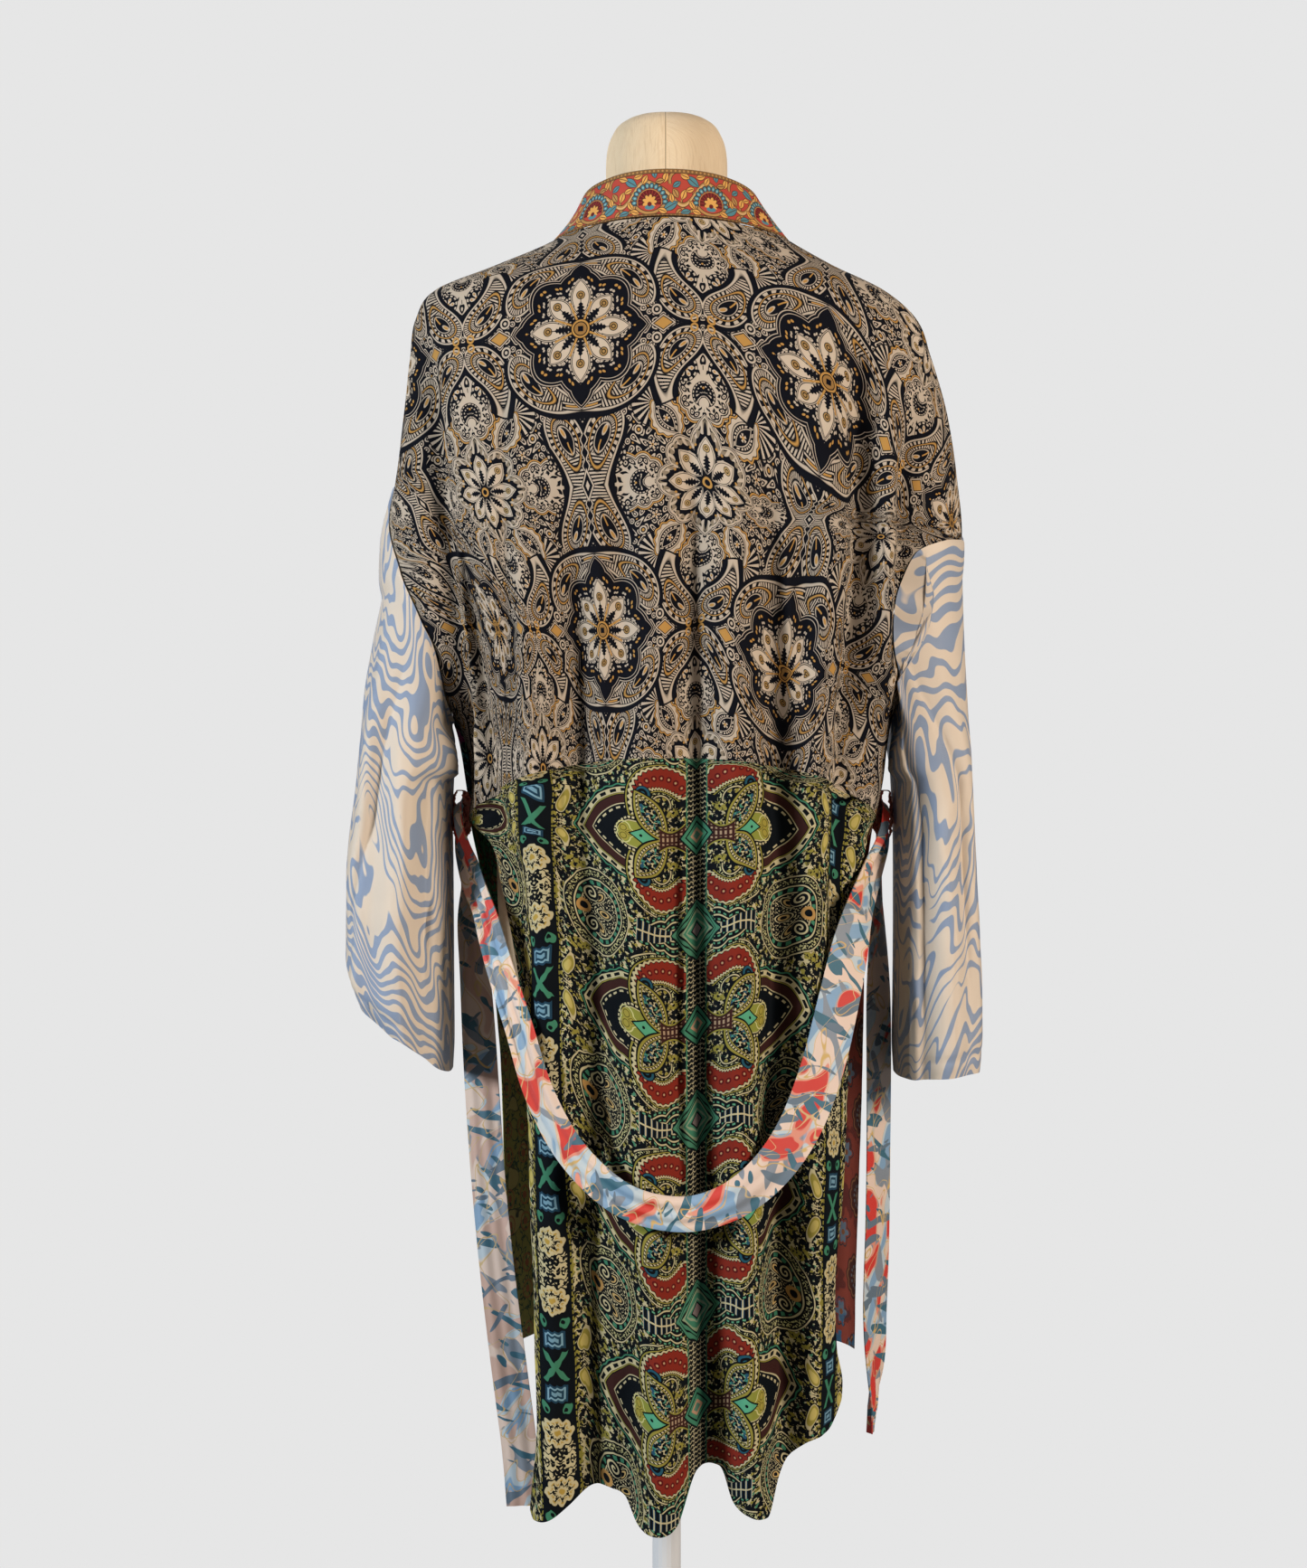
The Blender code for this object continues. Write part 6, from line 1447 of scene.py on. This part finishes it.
def linen_material():
    mat, shader = begin("form_linen")
    u, v = cloth_place()
    warp, weft = sine(u * (2 * math.pi / 0.9)), sine(v * (2 * math.pi / 0.9))
    slub = noise(u * 0.12, v * 2.2, 0.5, 2, 70.0)
    slub2 = noise(u * 2.2, v * 0.12, 0.5, 2, 71.0)
    p = Paint((0.80, 0.61, 0.39))
    p.lay(ink(0.56 - slub, 0.12), (0.84, 0.67, 0.46))
    p.lay(ink(0.58 - slub2, 0.12), (0.72, 0.53, 0.325))
    p.lay(calc("MULTIPLY_ADD", noise(u, v, 0.012, 2, 72.0), 1.6, -0.62, clamp=True), (0.82, 0.64, 0.42))
    # the sewn seam up the middle of the back
    p.lay(ink(size(u - 1.2) - 0.40, 0.4), (0.30, 0.20, 0.11))
    TREE.links.new(p.it, shader.inputs["Base Color"])
    shader.inputs["Roughness"].default_value = 0.86
    shader.inputs["Sheen Weight"].default_value = 0.15
    shader.inputs["Specular IOR Level"].default_value = 0.25
    bump(shader, mad(warp * weft, 0.5, slub + slub2), 0.00020, 0.8)
    return mat


def loop_material():
    """Crinkled rust cloth. Its three tones are painted lighter than the cloth's own: painted light that makes up for
    the shadow the loops hang in.
    """
    mat, shader = begin("loop_cloth")
    u, v = cloth_place()
    n = noise(u, v, 0.26, 3, 80.0)
    p = Paint((0.74, 0.20, 0.135))
    p.lay(ink(0.54 - n, 0.08), (0.84, 0.35, 0.25))
    p.lay(ink(n - 0.43, 0.06), (0.36, 0.065, 0.045))
    TREE.links.new(p.it, shader.inputs["Base Color"])
    shader.inputs["Roughness"].default_value = 0.72
    bump(shader, n, 0.0010, 0.9)
    return mat


def paint_material(name, colour, rough):
    mat, shader = begin(name)
    at = TREE.nodes.new("ShaderNodeTexCoord")
    n = TREE.nodes.new("ShaderNodeTexNoise")
    n.inputs["Scale"].default_value = 900.0
    n.inputs["Detail"].default_value = 2.0
    TREE.links.new(at.outputs["Object"], n.inputs["Vector"])
    big = TREE.nodes.new("ShaderNodeTexNoise")
    big.inputs["Scale"].default_value = 9.0
    TREE.links.new(at.outputs["Object"], big.inputs["Vector"])
    p = Paint(colour)
    p.lay(calc("MULTIPLY_ADD", Val(big.outputs["Fac"]), 2.0, -0.7, clamp=True), tuple(c * 0.94 for c in colour))
    TREE.links.new(p.it, shader.inputs["Base Color"])
    shader.inputs["Roughness"].default_value = rough
    bump(shader, Val(n.outputs["Fac"]), 0.00015, 0.6)
    return mat
# ------------------------------------------------------------------ camera, lights and floor
def look_along(obj, target):
    from mathutils import Vector
    obj.rotation_euler = (Vector(target) - obj.location).to_track_quat("-Z", "Y").to_euler()


scene = bpy.context.scene
lens = bpy.data.cameras.new("view")
lens.sensor_fit = "VERTICAL"
lens.sensor_height = 36.0
lens.lens = 36.0 * 2.2 / 1.3872
lens.clip_end = 60
camera = bpy.data.objects.new("view", lens)
camera.location = (0.0116, 2.2, 0.945)
camera.rotation_euler = (math.radians(90), 0, math.radians(180))
scene.collection.objects.link(camera)
scene.camera = camera


def lamp(name, place, target, wide, power, colour):
    data = bpy.data.lights.new(name, "AREA")
    data.shape = "SQUARE"
    data.size = wide
    data.energy = power
    data.color = colour
    obj = bpy.data.objects.new(name, data)
    obj.location = place
    scene.collection.objects.link(obj)
    look_along(obj, target)
    return obj


lamp("window", (2.85, 1.40, 1.7), (0, 0.1, 0.9), 0.8, 101.0, (0.86, 0.93, 1.0))
lamp("room", (-2.35, 2.35, 1.8), (0, 0.1, 0.9), 0.9, 104.0, (1.0, 0.88, 0.76))
lamp("far", (0.3, -2.8, 2.4), (0, 0, 1.0), 2.2, 34.0, (0.97, 0.98, 1.0))
world = bpy.data.worlds.new("room")
scene.world = world
world.use_nodes = True
world.node_tree.nodes["Background"].inputs[0].default_value = (0.80, 0.82, 0.85, 1)
world.node_tree.nodes["Background"].inputs[1].default_value = 0.18
scene.view_settings.view_transform = "Standard"
scene.view_settings.look = "None"


def stage():
    """A pale floor that curves up into a pale wall all round, seen by the camera as one plain ground."""
    n, points, faces = 64, [], []
    profile = [(0.0, 0.0), (2.6, 0.0)] + [(2.6 + 1.2 * math.sin(a), 1.2 - 1.2 * math.cos(a)) for a in np.linspace(0.15, math.pi / 2, 8)] + [(3.8, 6.0)]
    for r, z in profile[1:]:
        points += [(r * math.cos(2 * math.pi * i / n), r * math.sin(2 * math.pi * i / n), z - 0.0002) for i in range(n)]
    faces.append(tuple(range(n)))
    for k in range(len(profile) - 2):
        for i in range(n):
            j = (i + 1) % n
            faces.append((k * n + i, k * n + j, (k + 1) * n + j, (k + 1) * n + i))
    mesh = bpy.data.meshes.new("backdrop")
    mesh.from_pydata(points, [], faces)
    mesh.shade_smooth()
    obj = bpy.data.objects.new("backdrop", mesh)
    scene.collection.objects.link(obj)
    mat, shader = begin("backdrop_paper")
    shader.inputs["Base Color"].default_value = (0.0, 0.0, 0.0, 1)
    shader.inputs["Roughness"].default_value = 1.0
    shader.inputs["Specular IOR Level"].default_value = 0.0
    shader.inputs["Emission Color"].default_value = (0.791, 0.791, 0.791, 1)
    shader.inputs["Emission Strength"].default_value = 1.0
    mesh.materials.append(mat)
    obj.visible_diffuse = obj.visible_glossy = obj.visible_shadow = False


stage()

# ------------------------------------------------------------------ the robe
M_YOKE = printed("yoke_print", yoke_print, 0.72, 0.0, specular=0.05)
M_SKIRT = printed("skirt_print", skirt_print, 0.72, 0.0, specular=0.05)
M_UPPER = printed("front_upper_print", front_upper_print, 0.64, 0.03, specular=0.16)
M_LEFT = printed("front_left_print", front_left_print, 0.62, 0.03, specular=0.20)
M_RIGHT = printed("front_right_print", front_right_print, 0.62, 0.03, specular=0.20)
M_SLEEVE = printed("sleeve_print", sleeve_print, 0.40, 0.10, specular=0.5, worn=0.05)
M_BAND = printed("band_print", band_print, 0.64, 0.05, specular=0.20, worn=0.08)
M_BELT = printed("belt_print", belt_print, 0.42, 0.10, specular=0.5, worn=0.06)
M_LINEN, M_LOOP = linen_material(), loop_material()
M_STAND = paint_material("stand_paint", (0.70, 0.70, 0.70), 0.45)


def dip(x, z):
    """How far the back's print hangs lower at x than in the middle; on the right it drops further lower down."""
    further = np.interp(z, [0.98, 1.10, 1.25], [1, 1, 0]) * np.interp(-x, [0.03, 0.10, 0.16, 0.20], [0, 0.045, 0.040, 0.030])
    return np.where(x < 0, np.interp(-x, [0.033, 0.104, 0.139, 0.17, 0.20, 0.25], [0, 0.033, 0.050, 0.080, 0.108, 0.15]) + further,
                    np.interp(x, [0.0, 0.156, 0.2, 0.235], [0, 0.009, 0.015, 0.02]))


# where the print's columns of medallions lie: height, then x of the columns -3 to 4; the folds take up cloth between them lower down
COLUMNS = [(1.400, 0.380, 0.280, 0.178, 0.0733, -0.030, -0.137, -0.235, -0.340), (1.300, 0.350, 0.265, 0.172, 0.0733, -0.030, -0.137, -0.222, -0.310),
           (1.186, 0.245, 0.205, 0.151, 0.0660, -0.034, -0.125, -0.190, -0.250), (1.070, 0.168, 0.140, 0.111, 0.0544, -0.023, -0.1005, -0.157, -0.195),
           (0.950, 0.160, 0.135, 0.104, 0.0500, -0.024, -0.098, -0.145, -0.180)]
COLUMN_AT = [table(COLUMNS, k) for k in range(1, 9)]


def columns_across(grid, u):
    """The print's own coordinate across the back, from the columns' places."""
    out = np.zeros(u.shape)
    for r, (row, along) in enumerate(zip(grid, u)):
        z = row[len(row) // 2, 2]
        at = np.array([float(c(z)) for c in COLUMN_AT])
        low, high = row[:, 0].min(), row[:, 0].max()
        seen = (at < high - 0.012) & (at > low + 0.012)
        marks = np.interp(-at[seen], -row[:, 0], along)
        cols = (np.arange(-3, 5) * 0.112)[seen]
        first, last = 0.112 / (marks[1] - marks[0]), 0.112 / (marks[-1] - marks[-2])
        marks = np.concatenate([[marks[0] - 1], marks, [marks[-1] + 1]])
        cols = np.concatenate([[cols[0] - min(first, 1.6)], cols, [cols[-1] + min(last, 1.6)]])
        out[r] = np.interp(along, marks, cols)
    return out


g, g0 = yoke_grid(), yoke_grid(plain=True)
u, _ = lengths(g0, flat=True)
_, v = lengths(g0)
across = columns_across(g0, u)
for _ in range(4):
    across[1:-1] = (across[:-2] + 2 * across[1:-1] + across[2:]) / 4
level = np.array([[np.interp(-1.199, -g0[:, c, 2], v[:, c])] for c in range(g0.shape[1])]).T
height = -(v - level)
height = np.where(height > 0, height * (131 / 139), height * (131 / 123.5)) + dip(g[..., 0], g[..., 2])
yoke = shell("back_yoke_cloth", g, (across, height + 0.131), CLOTH, M_YOKE, ["back_yoke"], outward=from_axis)
g, g0 = skirt_grid(), skirt_grid(plain=True)
u, _ = lengths(g0, flat=True)
_, v = lengths(g0)
axis = np.array([np.interp(0.025, -row[:, 0], uu) for row, uu in zip(g0, u)])[:, None]
top = g[0, :, 2][None, :]
skirt = shell("back_skirt_cloth", g, (u - axis, -(v - v[:1]) + top - 0.898 + dip(g[..., 0], 1.4) * 0.35 + 0.648), CLOTH, M_SKIRT, ["back_skirt"], outward=from_axis)
uppers, lowers, sleeves = {}, {}, {}
for side, tag in ((1, "left"), (-1, "right")):
    g = front_upper_grid(side)
    u, v = lengths(g)
    uppers[tag] = shell("front_upper_" + tag + "_cloth", g, (u - u[:, -1:], -v[:, -1:] + 0 * u), CLOTH, M_UPPER, ["front_upper_" + tag], outward=from_axis)
    g = front_lower_grid(side)
    u, v = lengths(g)
    lowers[tag] = shell("front_lower_" + tag + "_cloth", g, (u, g[..., 2]), CLOTH, M_LEFT if side > 0 else M_RIGHT, ["front_lower_" + tag], outward=from_axis)
    g = sleeve_grid(side)
    u, v = lengths(g)
    u = u[40:41] + 0 * u
    middle = np.array([side * 0.228, 0, 0])
    sleeves[tag] = shell("sleeve_" + tag + "_cloth", g, (u + (0 if side > 0 else 0.9), -v), CLOTH, M_SLEEVE, ["sleeve_" + tag], closed=True,
                         outward=lambda q, m=middle: (q - m) * np.array([1, 1, 0]))
g = band_grid()
u, v = lengths(g)
u = u[6:7] + 0 * u
k = np.linspace(0, 1, g.shape[0])[:, None] + 0 * u
band = shell("neck_band_cloth", g, (u, k * BAND_WIDTH), 0.0018, M_BAND, ["neck_band"], thick_at=0.0011 + 0.0010 * np.sqrt(np.clip(np.sin(k * math.pi), 0, 1)))
g, _ = belt_grid()
u, v = lengths(g)
belt = shell("belt_cloth", g, (u[7:8] + 0 * u, v), 0.0010, M_BELT, ["belt"])
g = form_grid()
u, v = lengths(g)
u[:3], u[-3:] = u[3], u[-4]
form = shell("form_torso_cloth", g, (u, -v), 0.002, M_LINEN, ["form_torso"], closed=True, outward=from_axis)

for side, tag in ((1, "left"), (-1, "right")):
    g, u, v = loop_grid(side)
    shell("belt_loop_" + tag + "_cloth", g, (u, v), 0.0010, M_LOOP, ["belt_loop_" + tag], closed=True)
for node in ("stand_pole", "stand_base"):
    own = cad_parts[node].data.materials
    own.clear()
    own.append(M_STAND)
